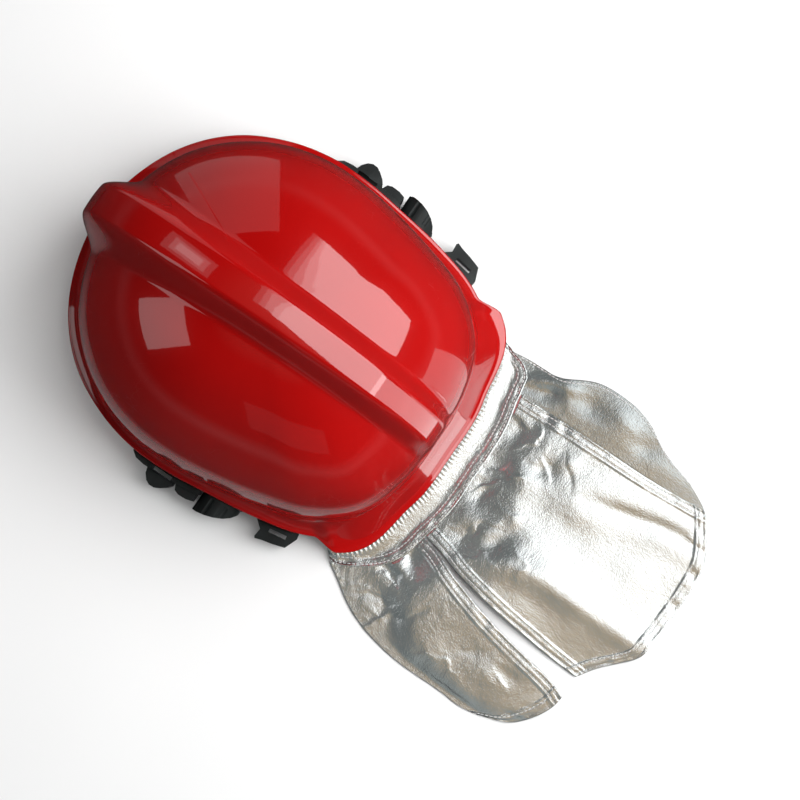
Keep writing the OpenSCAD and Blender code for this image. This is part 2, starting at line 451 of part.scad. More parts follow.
outer_shell();
impact_liner();
crown_pad();
crown_strap_cross();
crown_strap_diagonal_a();
crown_strap_diagonal_b();
headband();
brow_sweatband();
suspension_hooks();
ratchet_housing();
ratchet_cover();
ratchet_dial();
ratchet_pinion();
rack_band_left();
rack_band_right();
nape_pad();
visor_lens();
visor_edge_trim();
visor_hub_left();
visor_hub_right();
pivot_bolt_left();
pivot_bolt_right();
pivot_spacers();
visor_knob_left();
visor_knob_right();
knob_cap_left();
knob_cap_right();
side_bracket_left();
side_bracket_right();
bracket_screws();
rear_clip_left();
rear_clip_right();
clip_screws();
chin_strap_left();
chin_strap_right();
chin_strap_lower();
strap_sliders();
strap_rivets();
chin_pad();
buckle_body();
buckle_tongue();
buckle_button();
cape_band();
cape_panel_left();
cape_panel_center();
cape_panel_right();
cape_studs();
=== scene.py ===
# Looks of the crested fire helmet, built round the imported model.
import bpy, bmesh, math
import numpy as np
from mathutils import Vector, Matrix


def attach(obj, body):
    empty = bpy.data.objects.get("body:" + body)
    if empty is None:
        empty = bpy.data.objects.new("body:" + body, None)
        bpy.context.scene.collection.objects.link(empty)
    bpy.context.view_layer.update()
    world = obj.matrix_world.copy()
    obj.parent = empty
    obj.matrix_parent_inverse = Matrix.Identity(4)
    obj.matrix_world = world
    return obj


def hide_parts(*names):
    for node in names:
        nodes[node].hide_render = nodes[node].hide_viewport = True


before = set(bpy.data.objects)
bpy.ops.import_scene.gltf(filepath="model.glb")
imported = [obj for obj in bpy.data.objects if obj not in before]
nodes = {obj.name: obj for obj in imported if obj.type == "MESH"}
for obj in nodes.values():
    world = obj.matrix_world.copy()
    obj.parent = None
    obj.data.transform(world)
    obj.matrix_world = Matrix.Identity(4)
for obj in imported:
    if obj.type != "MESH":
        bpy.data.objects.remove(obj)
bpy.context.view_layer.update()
scene = bpy.context.scene
OY = 98.4  # helmet millimetres have their origin at the shell's plan centre, this far in front of the frame's


def metres(p):
    p = np.asarray(p, float) / 1000.0
    out = p.copy()
    out[..., 1] -= OY / 1000.0
    return out


# ------------------------------------------------------------------ camera
def make_camera():
    ax, ay, roll, ox, oyc, dist = -0.0655, 0.0485, math.radians(145.448), -87.0307, 51.152, 1269.8
    rot = roll + math.pi / 2
    cx, sx, cy, sy, cz, sz = math.cos(ax), math.sin(ax), math.cos(ay), math.sin(ay), math.cos(rot), math.sin(rot)
    R = np.array([[1, 0, 0], [0, cx, -sx], [0, sx, cx]]) @ np.array([[cy, 0, sy], [0, 1, 0], [-sy, 0, cy]]) @ np.array([[cz, -sz, 0], [sz, cz, 0], [0, 0, 1]])
    c = metres(R.T @ (np.array([0, 0, dist]) - np.array([ox, oyc, 0])) + np.array([0, 0, 60]))
    data = bpy.data.cameras.new("camera")
    data.sensor_width, data.lens = 36.0, 84.82
    data.clip_start, data.clip_end = 0.05, 20
    cam = bpy.data.objects.new("camera", data)
    scene.collection.objects.link(cam)
    cam.matrix_world = Matrix([[*R[:, 0], 0], [*R[:, 1], 0], [*R[:, 2], 0], [0, 0, 0, 1]]) @ Matrix.Identity(4)
    m = Matrix(((R[0][0], R[1][0], R[2][0], c[0]), (R[0][1], R[1][1], R[2][1], c[1]), (R[0][2], R[1][2], R[2][2], c[2]), (0, 0, 0, 1)))
    cam.matrix_world = m
    scene.camera = cam
    return cam


camera = make_camera()


# ------------------------------------------------------------------ helpers
def tab(t, th):
    t = np.asarray(t, float)
    a = np.mod(np.asarray(th, float), 360)
    f = np.where(a > 180, 360 - a, a) / 15
    i = np.minimum(np.floor(f).astype(int), 11)
    s = f - i
    A, B, C, D = t[np.where(i == 0, 1, i - 1)], t[i], t[i + 1], t[np.where(i + 2 > 12, 11, i + 2)]
    return 0.5 * (2 * B + (C - A) * s + (2 * A - 5 * B + 4 * C - D) * s * s + (3 * B - A - 3 * C + D) * s ** 3)


def smooth(a, b, x):
    t = np.clip((np.asarray(x, float) - a) / (b - a), 0, 1)
    return t * t * (3 - 2 * t)


def fold(th):
    a = np.mod(np.asarray(th, float), 360)
    return np.where(a > 180, 360 - a, a)


def plan(th, r, z):
    t = np.radians(th)
    r, z = np.broadcast_arrays(np.asarray(r, float), np.asarray(z, float))
    return np.stack([r * np.sin(t), -r * np.cos(t), z + 0 * t], -1)


def mesh_object(name, points, faces, body, smooth_deg=40, unit="mm"):
    """A mesh piece from points in helmet millimetres, riding on a body."""
    me = bpy.data.meshes.new(name)
    p = metres(points) if unit == "mm" else np.asarray(points, float)
    me.from_pydata([tuple(v) for v in p.reshape(-1, 3)], [], [tuple(int(i) for i in f) for f in faces])
    me.validate()
    me.update()
    me.polygons.foreach_set("use_smooth", [True] * len(me.polygons))
    me.set_sharp_from_angle(angle=math.radians(smooth_deg))
    o = bpy.data.objects.new(name, me)
    scene.collection.objects.link(o)
    if body:
        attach(o, body)
    return o


def grid_faces(rows, cols, wrap=False, flip=False, start=0):
    i, j = np.meshgrid(np.arange(rows - 1), np.arange(cols if wrap else cols - 1), indexing="ij")
    k = (j + 1) % cols
    f = np.stack([start + i * cols + j, start + (i + 1) * cols + j, start + (i + 1) * cols + k, start + i * cols + k], -1).reshape(-1, 4)
    return f[:, ::-1] if flip else f


def value_noise(p, seed):
    """Smooth noise of points (..., 2 or 3), one unit per cell, from -1 to 1, the same on every run."""
    p = np.asarray(p, float)
    i = np.floor(p).astype(np.int64)
    f = p - i
    f = f * f * f * (f * (f * 6 - 15) + 10)
    dims = p.shape[-1]
    total = np.zeros(p.shape[:-1])
    for c in range(2 ** dims):
        w = np.ones(p.shape[:-1])
        h = np.full(p.shape[:-1], seed * 7919 + 13, np.int64)
        for d in range(dims):
            b = (c >> d) & 1
            w = w * (f[..., d] if b else 1 - f[..., d])
            h = (h * 374761393 + (i[..., d] + b) * 668265263) & 0x7FFFFFFF
            h = ((h ^ (h >> 13)) * 1274126177) & 0x7FFFFFFF
        total += w * ((h ^ (h >> 16)) % 65536 / 32767.5 - 1)
    return total


def fractal(p, seed, octaves=3, ridged=False):
    out, amp, total = 0, 1.0, 0.0
    for k in range(octaves):
        v = value_noise(np.asarray(p) * 2 ** k + 17.3 * k, seed + k)
        out = out + amp * ((1 - 2 * np.abs(v)) if ridged else v)
        total += amp
        amp *= 0.5
    return out / total


# ------------------------------------------------------------------ materials
def new_material(name):
    m = bpy.data.materials.new(name)
    m.use_nodes = True
    nt = m.node_tree
    for n in list(nt.nodes):
        nt.nodes.remove(n)
    out = nt.nodes.new("ShaderNodeOutputMaterial")
    sh = nt.nodes.new("ShaderNodeBsdfPrincipled")
    nt.links.new(sh.outputs["BSDF"], out.inputs["Surface"])
    co = nt.nodes.new("ShaderNodeTexCoord")
    return m, nt, sh, co.outputs["Object"]


def node(nt, kind, inputs=None, **props):
    n = nt.nodes.new(kind)
    for k, v in props.items():
        setattr(n, k, v)
    for k, v in (inputs or {}).items():
        if isinstance(v, bpy.types.NodeSocket):
            nt.links.new(v, n.inputs[k])
        else:
            n.inputs[k].default_value = v
    return n


def noise(nt, co, scale, detail=3.0, rough=0.55, distortion=0.0):
    return node(nt, "ShaderNodeTexNoise", {"Vector": co, "Scale": scale, "Detail": detail, "Roughness": rough, "Distortion": distortion}).outputs["Fac"]


def ramp(nt, fac, stops, kind="LINEAR"):
    n = nt.nodes.new("ShaderNodeValToRGB")
    n.color_ramp.interpolation = kind
    e = n.color_ramp.elements
    while len(e) < len(stops):
        e.new(0.5)
    for x, (pos, col) in zip(e, stops):
        x.position = pos
        x.color = (col[0], col[1], col[2], 1) if hasattr(col, "__len__") else (col, col, col, 1)
    nt.links.new(fac, n.inputs["Fac"])
    return n.outputs["Color"]


def span(nt, v, lo, hi, a=0.0, b=1.0):
    return node(nt, "ShaderNodeMapRange", {"Value": v, "From Min": a, "From Max": b, "To Min": lo, "To Max": hi}).outputs["Result"]


def math_node(nt, op, a, b=None):
    n = nt.nodes.new("ShaderNodeMath")
    n.operation = op
    for i, v in enumerate((a, b)):
        if v is None:
            continue
        if isinstance(v, bpy.types.NodeSocket):
            nt.links.new(v, n.inputs[i])
        else:
            n.inputs[i].default_value = v
    return n.outputs[0]


def bump(nt, height, strength, distance, normal=None):
    n = node(nt, "ShaderNodeBump", {"Height": height, "Strength": strength, "Distance": distance})
    if normal is not None:
        nt.links.new(normal, n.inputs["Normal"])
    return n.outputs["Normal"]


def paint():
    m, nt, sh, co = new_material("shell_paint")
    tone = noise(nt, co, 9, 3)
    col = ramp(nt, tone, [(0.3, (0.40, 0.0016, 0.0014)), (0.7, (0.46, 0.0024, 0.0020))])
    nt.links.new(col, sh.inputs["Base Color"])
    scuff = node(nt, "ShaderNodeTexVoronoi", {"Vector": co, "Scale": 160.0}, feature="DISTANCE_TO_EDGE").outputs["Distance"]
    mark = ramp(nt, math_node(nt, "MULTIPLY", ramp(nt, scuff, [(0.0, 1.0), (0.012, 0.0)]), ramp(nt, noise(nt, co, 28, 2), [(0.62, 0.0), (0.70, 1.0)])), [(0, 0.0), (1, 1.0)])
    nt.links.new(span(nt, mark, 0.24, 0.5), sh.inputs["Roughness"])
    sh.inputs["Specular IOR Level"].default_value = 0.12
    sh.inputs["Coat Weight"].default_value = 1.0
    sh.inputs["Coat Roughness"].default_value = 0.035
    sh.inputs["Coat IOR"].default_value = 1.85
    peel = noise(nt, co, 260, 2, 0.5)
    wave = noise(nt, co, 38, 1, 0.4)
    n1 = bump(nt, wave, 0.10, 0.0006)
    n2 = bump(nt, peel, 0.05, 0.0002, n1)
    nt.links.new(n2, sh.inputs["Normal"])
    nt.links.new(n2, sh.inputs["Coat Normal"])
    return m


def plastic(name, dark, light, rough, grain=900, depth=0.12, wear=0.6):
    m, nt, sh, co = new_material(name)
    a = noise(nt, co, 34, 4)
    col = ramp(nt, a, [(0.35, dark), (0.68, light)])
    edge = nt.nodes.new("ShaderNodeNewGeometry").outputs["Pointiness"]
    worn = ramp(nt, edge, [(0.52, 0.0), (0.60, wear)])
    mx = nt.nodes.new("ShaderNodeMix")
    mx.data_type = "RGBA"
    nt.links.new(math_node(nt, "MULTIPLY", worn, noise(nt, co, 420, 3)), mx.inputs[0])
    nt.links.new(col, mx.inputs[6])
    mx.inputs[7].default_value = (*[min(1, 2.4 * c + 0.03) for c in light], 1)
    nt.links.new(mx.outputs[2], sh.inputs["Base Color"])
    nt.links.new(span(nt, noise(nt, co, 120, 4), rough - 0.07, rough + 0.08), sh.inputs["Roughness"])
    sh.inputs["Specular IOR Level"].default_value = 0.22
    g = noise(nt, co, grain, 2, 0.6)
    nt.links.new(bump(nt, g, depth, 0.0002), sh.inputs["Normal"])
    return m


def metal(name, dark, light, rough):
    m, nt, sh, co = new_material(name)
    sh.inputs["Metallic"].default_value = 1.0
    nt.links.new(ramp(nt, noise(nt, co, 60, 4), [(0.3, dark), (0.7, light)]), sh.inputs["Base Color"])
    nt.links.new(span(nt, noise(nt, co, 300, 4), rough - 0.08, rough + 0.1), sh.inputs["Roughness"])
    nt.links.new(bump(nt, noise(nt, co, 1400, 2), 0.08, 0.0001), sh.inputs["Normal"])
    return m


def aluminised():
    m, nt, sh, co = new_material("aluminised_cloth")
    sh.inputs["Metallic"].default_value = 1.0
    tone = noise(nt, co, 22, 4, 0.6)
    nt.links.new(ramp(nt, tone, [(0.3, (0.60, 0.615, 0.62)), (0.7, (0.74, 0.755, 0.76))]), sh.inputs["Base Color"])
    nt.links.new(span(nt, noise(nt, co, 90, 5, 0.6), 0.13, 0.21), sh.inputs["Roughness"])
    fine = noise(nt, co, 260, 3, 0.6)
    grain = noise(nt, co, 900, 2, 0.7)
    n = bump(nt, fine, 0.10, 0.0006)
    n = bump(nt, grain, 0.55, 0.00042, n)
    nt.links.new(n, sh.inputs["Normal"])
    return m


def cloth(name, dark, light, scale=900, rough=0.85, sheen=0.3, ribs=0.0):
    m, nt, sh, co = new_material(name)
    nt.links.new(ramp(nt, noise(nt, co, 50, 5), [(0.3, dark), (0.7, light)]), sh.inputs["Base Color"])
    sh.inputs["Roughness"].default_value = rough
    sh.inputs["Sheen Weight"].default_value = sheen
    w1 = node(nt, "ShaderNodeTexWave", {"Vector": co, "Scale": scale / 6.3, "Distortion": 0.4, "Detail": 1.0}, bands_direction="X").outputs["Fac"]
    w2 = node(nt, "ShaderNodeTexWave", {"Vector": co, "Scale": scale / 6.3, "Distortion": 0.4, "Detail": 1.0}, bands_direction="Y").outputs["Fac"]
    w3 = node(nt, "ShaderNodeTexWave", {"Vector": co, "Scale": scale / 6.3, "Distortion": 0.4, "Detail": 1.0}, bands_direction="Z").outputs["Fac"]
    h = math_node(nt, "ADD", math_node(nt, "ADD", w1, w2), w3)
    n = bump(nt, h, 0.5, 0.0003)
    n = bump(nt, noise(nt, co, 1500, 3), 0.2, 0.0002, n)
    nt.links.new(n, sh.inputs["Normal"])
    return m


def foam():
    m, nt, sh, co = new_material("bead_foam")
    v = node(nt, "ShaderNodeTexVoronoi", {"Vector": co, "Scale": 330.0, "Randomness": 0.9})
    nt.links.new(ramp(nt, v.outputs["Distance"], [(0.0, (0.050, 0.052, 0.056)), (0.6, (0.022, 0.023, 0.025))]), sh.inputs["Base Color"])
    sh.inputs["Roughness"].default_value = 0.8
    nt.links.new(bump(nt, v.outputs["Distance"], 0.6, 0.0008), sh.inputs["Normal"])
    return m


def lens():
    m, nt, sh, co = new_material("clear_lens")
    nt.links.new(ramp(nt, noise(nt, co, 20, 2), [(0.3, (0.93, 0.96, 0.97)), (0.7, (0.97, 0.985, 0.99))]), sh.inputs["Base Color"])
    sh.inputs["Transmission Weight"].default_value = 1.0
    sh.inputs["IOR"].default_value = 1.5
    nt.links.new(span(nt, noise(nt, co, 260, 5, 0.7), 0.01, 0.06), sh.inputs["Roughness"])
    return m


MAT = {
    "paint": paint(),
    "inside": plastic("shell_inside", (0.30, 0.004, 0.004), (0.38, 0.008, 0.007), 0.5, 500, 0.2, 0.0),
    "black": plastic("black_moulding", (0.0085, 0.0105, 0.0105), (0.020, 0.0245, 0.0245), 0.40, 700, 0.14, 0.35),
    "grey": plastic("grey_moulding", (0.085, 0.088, 0.092), (0.13, 0.135, 0.14), 0.45, 900, 0.12, 0.3),
    "rubber": plastic("edge_rubber", (0.012, 0.012, 0.013), (0.02, 0.02, 0.021), 0.62, 1200, 0.2, 0.0),
    "red_button": plastic("button_red", (0.42, 0.006, 0.008), (0.55, 0.012, 0.012), 0.4, 900, 0.1, 0.2),
    "steel": metal("plated_steel", (0.42, 0.42, 0.43), (0.62, 0.62, 0.63), 0.33),
    "silver": aluminised(),
    "thread": cloth("white_thread", (0.62, 0.63, 0.63), (0.80, 0.80, 0.79), 3000, 0.7, 0.2),
    "webbing": cloth("black_webbing", (0.012, 0.0125, 0.014), (0.028, 0.029, 0.032), 900, 0.85, 0.35),
    "webbing_thread": cloth("dark_thread", (0.05, 0.052, 0.055), (0.09, 0.092, 0.095), 3000, 0.8, 0.2),
    "tape": cloth("crown_tape", (0.42, 0.43, 0.44), (0.56, 0.57, 0.58), 900, 0.85, 0.3),
    "pad": cloth("pad_cloth", (0.040, 0.034, 0.028), (0.075, 0.066, 0.056), 1300, 0.9, 0.5),
    "foam": foam(),
    "lens": lens(),
}


def use(o, mat):
    o.data.materials.clear()
    o.data.materials.append(MAT[mat])


# ------------------------------------------------------------------ the shell
WALL = [131.5, 131.5, 130.5, 127.5, 123.5, 119, 115.5, 115.5, 121, 132, 140.5, 139.5, 137]
EDGE = [142, 141, 139.5, 136, 130.5, 125.5, 121.5, 122, 130.5, 145, 156, 156, 152.5]
FOOT = [44, 44, 43, 42, 42, 42, 42, 42, 43, 46, 46, 44, 42]
RIM = [35, 35, 35, 36, 36, 36, 36, 35, 31, 20, 11, 9, 9]
UNDER = [31, 31, 31, 32, 32, 32, 32, 31, 27, 27, 35, 33, 31]
SKIRT = [29, 29, 29, 27, 18, 4, 0, 0, 1, 14, 33, 31, 29]
CREST = [9, 17, 21, 20, 17, 15, 14, 13.5, 13, 11.5, 8, 3.5, 0]
CRESTW = [31, 31, 30, 29, 28, 26.5, 25, 24, 23, 22, 21, 20, 19]
DOME_H, DOME_P, WALL_T, FLANGE_T = 154.0, 2.1, 3.0, 4.0


def wall_r(th):
    return tab(WALL, th)


def edge_r(th):
    return tab(EDGE, th) + 11 * smooth(136, 141, fold(th)) * (1 - smooth(143, 163, fold(th)))


def crested(P, zw, top, k=1.0):
    x, y, z = P[..., 0], P[..., 1], P[..., 2]
    yb = y / np.where(y < 0, 131.5, 137)
    u = np.clip((z - zw) / (top - zw), 0, 1)
    phi = np.degrees(np.arctan2(u, -yb))
    ny, nz = np.sign(y) * np.abs(yb) ** 1.2 / 132, u ** 1.2 / (top - zw)
    n = np.sqrt(ny * ny + nz * nz) + 1e-12
    t = np.abs(x) / tab(CRESTW, phi)
    form = np.where(t >= 1, 0, 1 - smooth(0.32, 1, t) - 0.12 * t * t * (1 - t))
    g = form * tab(CREST, phi) * k
    out = P.copy()
    out[..., 1] += g * ny / n
    out[..., 2] += g * nz / n
    return out


def dome_row(th, r0, zw, top, s):
    a = np.radians(90 * (1 - s ** 1.4))
    return plan(th, r0 * np.cos(a) ** (2 / DOME_P), zw + (top - zw) * np.sin(a) ** (2 / DOME_P))


def make_shell():
    step = 0.6
    fine = 0.4
    front, side, corner = np.arange(-26, 26, fine), np.arange(26, 128, step), np.arange(128, 154, fine)
    th = np.concatenate([front, side, corner, np.arange(154, 206, fine), 360 - corner[::-1], 360 - side[::-1]])
    n, m = ((84, 34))
    rw, ro, zw, ze, zb = wall_r(th), edge_r(th), tab(FOOT, th), tab(RIM, th), tab(UNDER, th)
    zs = np.minimum(np.maximum(0, tab(SKIRT, th)), zb - 2)
    rows = [crested(dome_row(th, rw, zw, DOME_H, j / n), zw, DOME_H) for j in range(1, n + 1)]
    f = ro - 1.5 - rw
    for k in range(1, 13):
        a = math.radians(70 * k / 12)
        rows.append(crested(plan(th, rw + f * (1 - math.cos(a)) / (1 - math.cos(math.radians(70))), zw - (zw - ze) * math.sin(a) / math.sin(math.radians(70))), zw, DOME_H, 1 - k / 12))
    for k in range(1, 6):  # the rounded lip of the flange
        a = math.radians(90 * k / 5)
        rows.append(plan(th, ro - 1.5 + 1.5 * math.sin(a), ze - 1.5 + 1.5 * math.cos(a)))
    for k in range(0, 6):
        a = math.radians(90 * k / 5)
        rows.append(plan(th, ro - 1.5 + 1.5 * math.cos(a), ze - 2.5 - 1.5 * math.sin(a)))
    for k in range(1, 6):  # underside of the flange, and a fillet where it meets the skirt
        t = k / 6
        rows.append(plan(th, ro - 1.5 + (rw + 1.2 - ro + 1.5) * t, (ze - 4) + (zb - ze + 4) * t))
    rows.append(plan(th, rw + 0.9, zb - 0.2))
    rows.append(plan(th, rw + 0.2, zb - 0.8))
    for t in (0.15, 0.5, 0.85):
        rows.append(plan(th, rw, (zb - 1) + (zs + 1.0 - zb + 1) * t))
    for k in range(0, 7):  # rounded bottom edge of the skirt
        a = math.radians(180 * k / 6)
        rows.append(plan(th, rw - WALL_T / 2 + WALL_T / 2 * math.cos(a), zs + 0.8 - 0.8 * math.sin(a)))
    for j in range(m, 0, -1):
        rows.append(crested(dome_row(th, rw - WALL_T, zw, DOME_H - WALL_T, j / m), zw, DOME_H - WALL_T, 0.97))
    P = np.array(rows)
    nr, nc = P.shape[:2]
    top = crested(np.array([[0.0, 0.0, DOME_H]]), np.array([44.0]), DOME_H)[0]
    low = crested(np.array([[0.0, 0.0, DOME_H - WALL_T]]), np.array([44.0]), DOME_H - WALL_T, 0.97)[0]
    pts = np.concatenate([P.reshape(-1, 3), [top, low]])
    faces = [tuple(x) for x in grid_faces(nr, nc, wrap=True, flip=False)]
    faces += [(nr * nc, j, (j + 1) % nc) for j in range(nc)]
    faces += [((nr - 1) * nc + (j + 1) % nc, (nr - 1) * nc + j, nr * nc + 1) for j in range(nc)]
    o = mesh_object("shell_skin", pts, faces, "helmet", 50)
    o.data.materials.append(MAT["paint"])
    o.data.materials.append(MAT["inside"])
    first_in = (nr - m - 4) * nc
    idx = np.zeros(len(o.data.polygons), np.int32)
    idx[first_in:nr * nc - nc] = 1
    idx[-nc:] = 1
    o.data.polygons.foreach_set("material_index", idx)
    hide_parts("outer_shell")
    return o


shell = make_shell()

# ------------------------------------------------------------------ CAD nodes that stay
KEEP = {
    "impact_liner": ("foam", 0.0), "headband": ("black", 0.4), "suspension_hooks": ("black", 0.3), "ratchet_housing": ("black", 0.4),
    "ratchet_cover": ("black", 0.5), "ratchet_dial": ("black", 0.5), "ratchet_pinion": ("grey", 0.1), "rack_band_left": ("grey", 0.15),
    "rack_band_right": ("grey", 0.15), "visor_lens": ("lens", 0.0), "visor_edge_trim": ("rubber", 0.3), "visor_hub_left": ("black", 0.3),
    "visor_hub_right": ("black", 0.3), "pivot_bolt_left": ("steel", 0.3), "pivot_bolt_right": ("steel", 0.3), "pivot_spacers": ("steel", 0.3),
    "visor_knob_left": ("black", 0.9), "visor_knob_right": ("black", 0.9), "knob_cap_left": ("grey", 0.3), "knob_cap_right": ("grey", 0.3),
    "side_bracket_left": ("black", 0.8), "side_bracket_right": ("black", 0.8), "bracket_screws": ("steel", 0.3), "rear_clip_left": ("black", 0.8),
    "rear_clip_right": ("black", 0.8), "clip_screws": ("steel", 0.3), "strap_sliders": ("black", 0.6), "strap_rivets": ("steel", 0.3),
    "buckle_body": ("black", 0.9), "buckle_tongue": ("grey", 0.5), "buckle_button": ("red_button", 0.6), "cape_studs": ("steel", 0.3),
}
for name, (mat, width) in KEEP.items():
    o = nodes[name]
    use(o, mat)
    o.data.polygons.foreach_set("use_smooth", [True] * len(o.data.polygons))
    w = o.modifiers.new("weld", "WELD")
    w.merge_threshold = 0.00002
    if width:
        b = o.modifiers.new("edge", "BEVEL")
        b.width = width / 1000
        b.segments = 3
        b.limit_method = "ANGLE"
        b.angle_limit = math.radians(32)
        b.use_clamp_overlap = True
        b.harden_normals = False
        wn = o.modifiers.new("normals", "WEIGHTED_NORMAL")
        wn.keep_sharp = True

# ------------------------------------------------------------------ the neck cape
def curve(points, n):
    """n points evenly spaced along a smooth curve through the given ones."""
    p = np.asarray(points, float)
    e = np.concatenate([[2 * p[0] - p[1]], p, [2 * p[-1] - p[-2]]])
    t = np.linspace(0, 1, 24, endpoint=False)[:, None]
    runs = []
    for i in range(1, len(e) - 2):
        a, b, c, d = e[i - 1], e[i], e[i + 1], e[i + 2]
        runs.append(0.5 * (2 * b + (c - a) * t + (2 * a - 5 * b + 4 * c - d) * t * t + (3 * b - a - 3 * c + d) * t ** 3))
    q = np.concatenate(runs + [p[-1:]])
    s = np.concatenate([[0], np.cumsum(np.linalg.norm(np.diff(q, axis=0), axis=1))])
    x = np.linspace(0, s[-1], n)
    return np.stack([np.interp(x, s, q[:, k]) for k in range(q.shape[1])], -1)


def coons(top, bottom, left, right):
    u = np.linspace(0, 1, len(top))[None, :, None]
    v = np.linspace(0, 1, len(left))[:, None, None]
    ruled = (1 - v) * top[None] + v * bottom[None] + (1 - u) * left[:, None] + u * right[:, None]
    return ruled - (1 - u) * (1 - v) * top[0] - u * (1 - v) * top[-1] - (1 - u) * v * bottom[0] - u * v * bottom[-1]


def spans(points, x, y):
    """Distance of every (x, y) from a line through the points, how far along it lies (0 to 1), and on which side."""
    p = np.asarray(points, float)
    best, along, side = np.full(x.shape, 1e9), np.zeros(x.shape), np.zeros(x.shape)
    L = np.concatenate([[0], np.cumsum(np.linalg.norm(np.diff(p, axis=0), axis=1))])
    for k in range(len(p) - 1):
        d = p[k + 1] - p[k]
        t = np.clip(((x - p[k][0]) * d[0] + (y - p[k][1]) * d[1]) / (d @ d), 0, 1)
        qx, qy = x - p[k][0] - t * d[0], y - p[k][1] - t * d[1]
        r = np.hypot(qx, qy)
        m = r < best
        best = np.where(m, r, best)
        along = np.where(m, (L[k] + t * (L[k + 1] - L[k])) / L[-1], along)
        side = np.where(m, np.sign(d[0] * qy - d[1] * qx), side)
    return best, along, side


def bump_at(x, y, cx, cy, height, rx, ry=None, turn=0.0):
    a = math.radians(turn)
    dx, dy = x - cx, y - cy
    p, q = dx * math.cos(a) + dy * math.sin(a), -dx * math.sin(a) + dy * math.cos(a)
    return height * np.exp(-(p / rx) ** 2 - (q / (ry or rx)) ** 2)


def settle(P, extra, pin_xy, pin_all, low, high, rounds, aim=0.0):
    """Cloth on a grid takes up its extra length: extra is the share per point; pinned points keep their plan place, or all of it."""
    P = P.copy()
    goal = P.copy()
    flat = P[..., :2].copy()
    w = np.where(pin_all, 0.0, 1.0)
    sets = []
    for di, dj, k in ((0, 1, 1.0), (1, 0, 1.0), (1, 1, 0.7), (1, -1, 0.7), (0, 2, 0.22), (2, 0, 0.22)):
        R, C = P.shape[:2]
        i, j = np.meshgrid(np.arange(R - di), np.arange(max(0, -dj), C - max(0, dj)), indexing="ij")
        a, b = (i * C + j).ravel(), ((i + di) * C + j + dj).ravel()
        colour = (i.ravel() // max(di, 1) if di else j.ravel() // dj) % 2
        rest = np.linalg.norm(flat.reshape(-1, 2)[a] - flat.reshape(-1, 2)[b], axis=1) * (1 + (extra.ravel()[a] + extra.ravel()[b]) / 2)
        for c in (0, 1):
            m = colour == c
            sets.append((a[m], b[m], rest[m], k))
    Q, W = P.reshape(-1, 3), w.ravel()
    lo, hi = low.ravel(), high.ravel()
    for r in range(rounds):
        for a, b, rest, k in sets:
            d = Q[b] - Q[a]
            n = np.linalg.norm(d, axis=1) + 1e-9
            c = (k * (n - rest) / (n * (W[a] + W[b] + 1e-9)))[:, None] * d
            Q[a] += W[a][:, None] * c
            Q[b] -= W[b][:, None] * c
        if aim:
            Q[:, 2] += aim * (goal.reshape(-1, 3)[:, 2] - Q[:, 2])
        Q[:, 2] = np.clip(Q[:, 2], lo, hi)
        Q[pin_xy.ravel(), :2] = flat.reshape(-1, 2)[pin_xy.ravel()]
        Q[pin_all.ravel()] = goal.reshape(-1, 3)[pin_all.ravel()]
    return Q.reshape(P.shape)


def finer(P, rows, cols):
    """The same surface on a finer grid, through a smooth spline."""
    def weights(n, m):
        x = np.linspace(0, n - 1, m)
        i = np.minimum(x.astype(int), n - 2)
        f = x - i
        W = np.zeros((m, n + 2))
        for k, b in enumerate(((1 - f) ** 3 / 6, (3 * f ** 3 - 6 * f ** 2 + 4) / 6, (-3 * f ** 3 + 3 * f ** 2 + 3 * f + 1) / 6, f ** 3 / 6)):
            W[np.arange(m), i + k] += b
        M = W[:, 1:-1].copy()
        M[:, 0] += 2 * W[:, 0]
        M[:, 1] -= W[:, 0]
        M[:, -1] += 2 * W[:, -1]
        M[:, -2] -= W[:, -1]
        return M
    return np.einsum("ai,ijk,bj->abk", weights(P.shape[0], rows), P, weights(P.shape[1], cols))


def normals(P):
    n = np.cross(np.gradient(P, axis=1), np.gradient(P, axis=0))
    n /= np.linalg.norm(n, axis=-1, keepdims=True) + 1e-12
    return n if n[..., 2].mean() > 0 else -n


def edge_line(P, N, side, dist, skip=(0.0, 0.0)):
    """Points and normals on the cloth at a distance from one edge, without skip mm at its two ends."""
    if side in "tb":
        P, N = np.swapaxes(P, 0, 1), np.swapaxes(N, 0, 1)
    if side in "rb":
        P, N = P[:, ::-1], N[:, ::-1]
    s = np.concatenate([np.zeros((len(P), 1)), np.cumsum(np.linalg.norm(np.diff(P, axis=1), axis=2), axis=1)], 1)
    out = np.array([[np.interp(dist, s[i], A[i, :, k]) for A in (P, N) for k in range(3)] for i in range(len(P))])
    L = np.concatenate([[0], np.cumsum(np.linalg.norm(np.diff(out[:, :3], axis=0), axis=1))])
    keep = (L >= skip[0]) & (L <= L[-1] - skip[1])
    return out[keep]


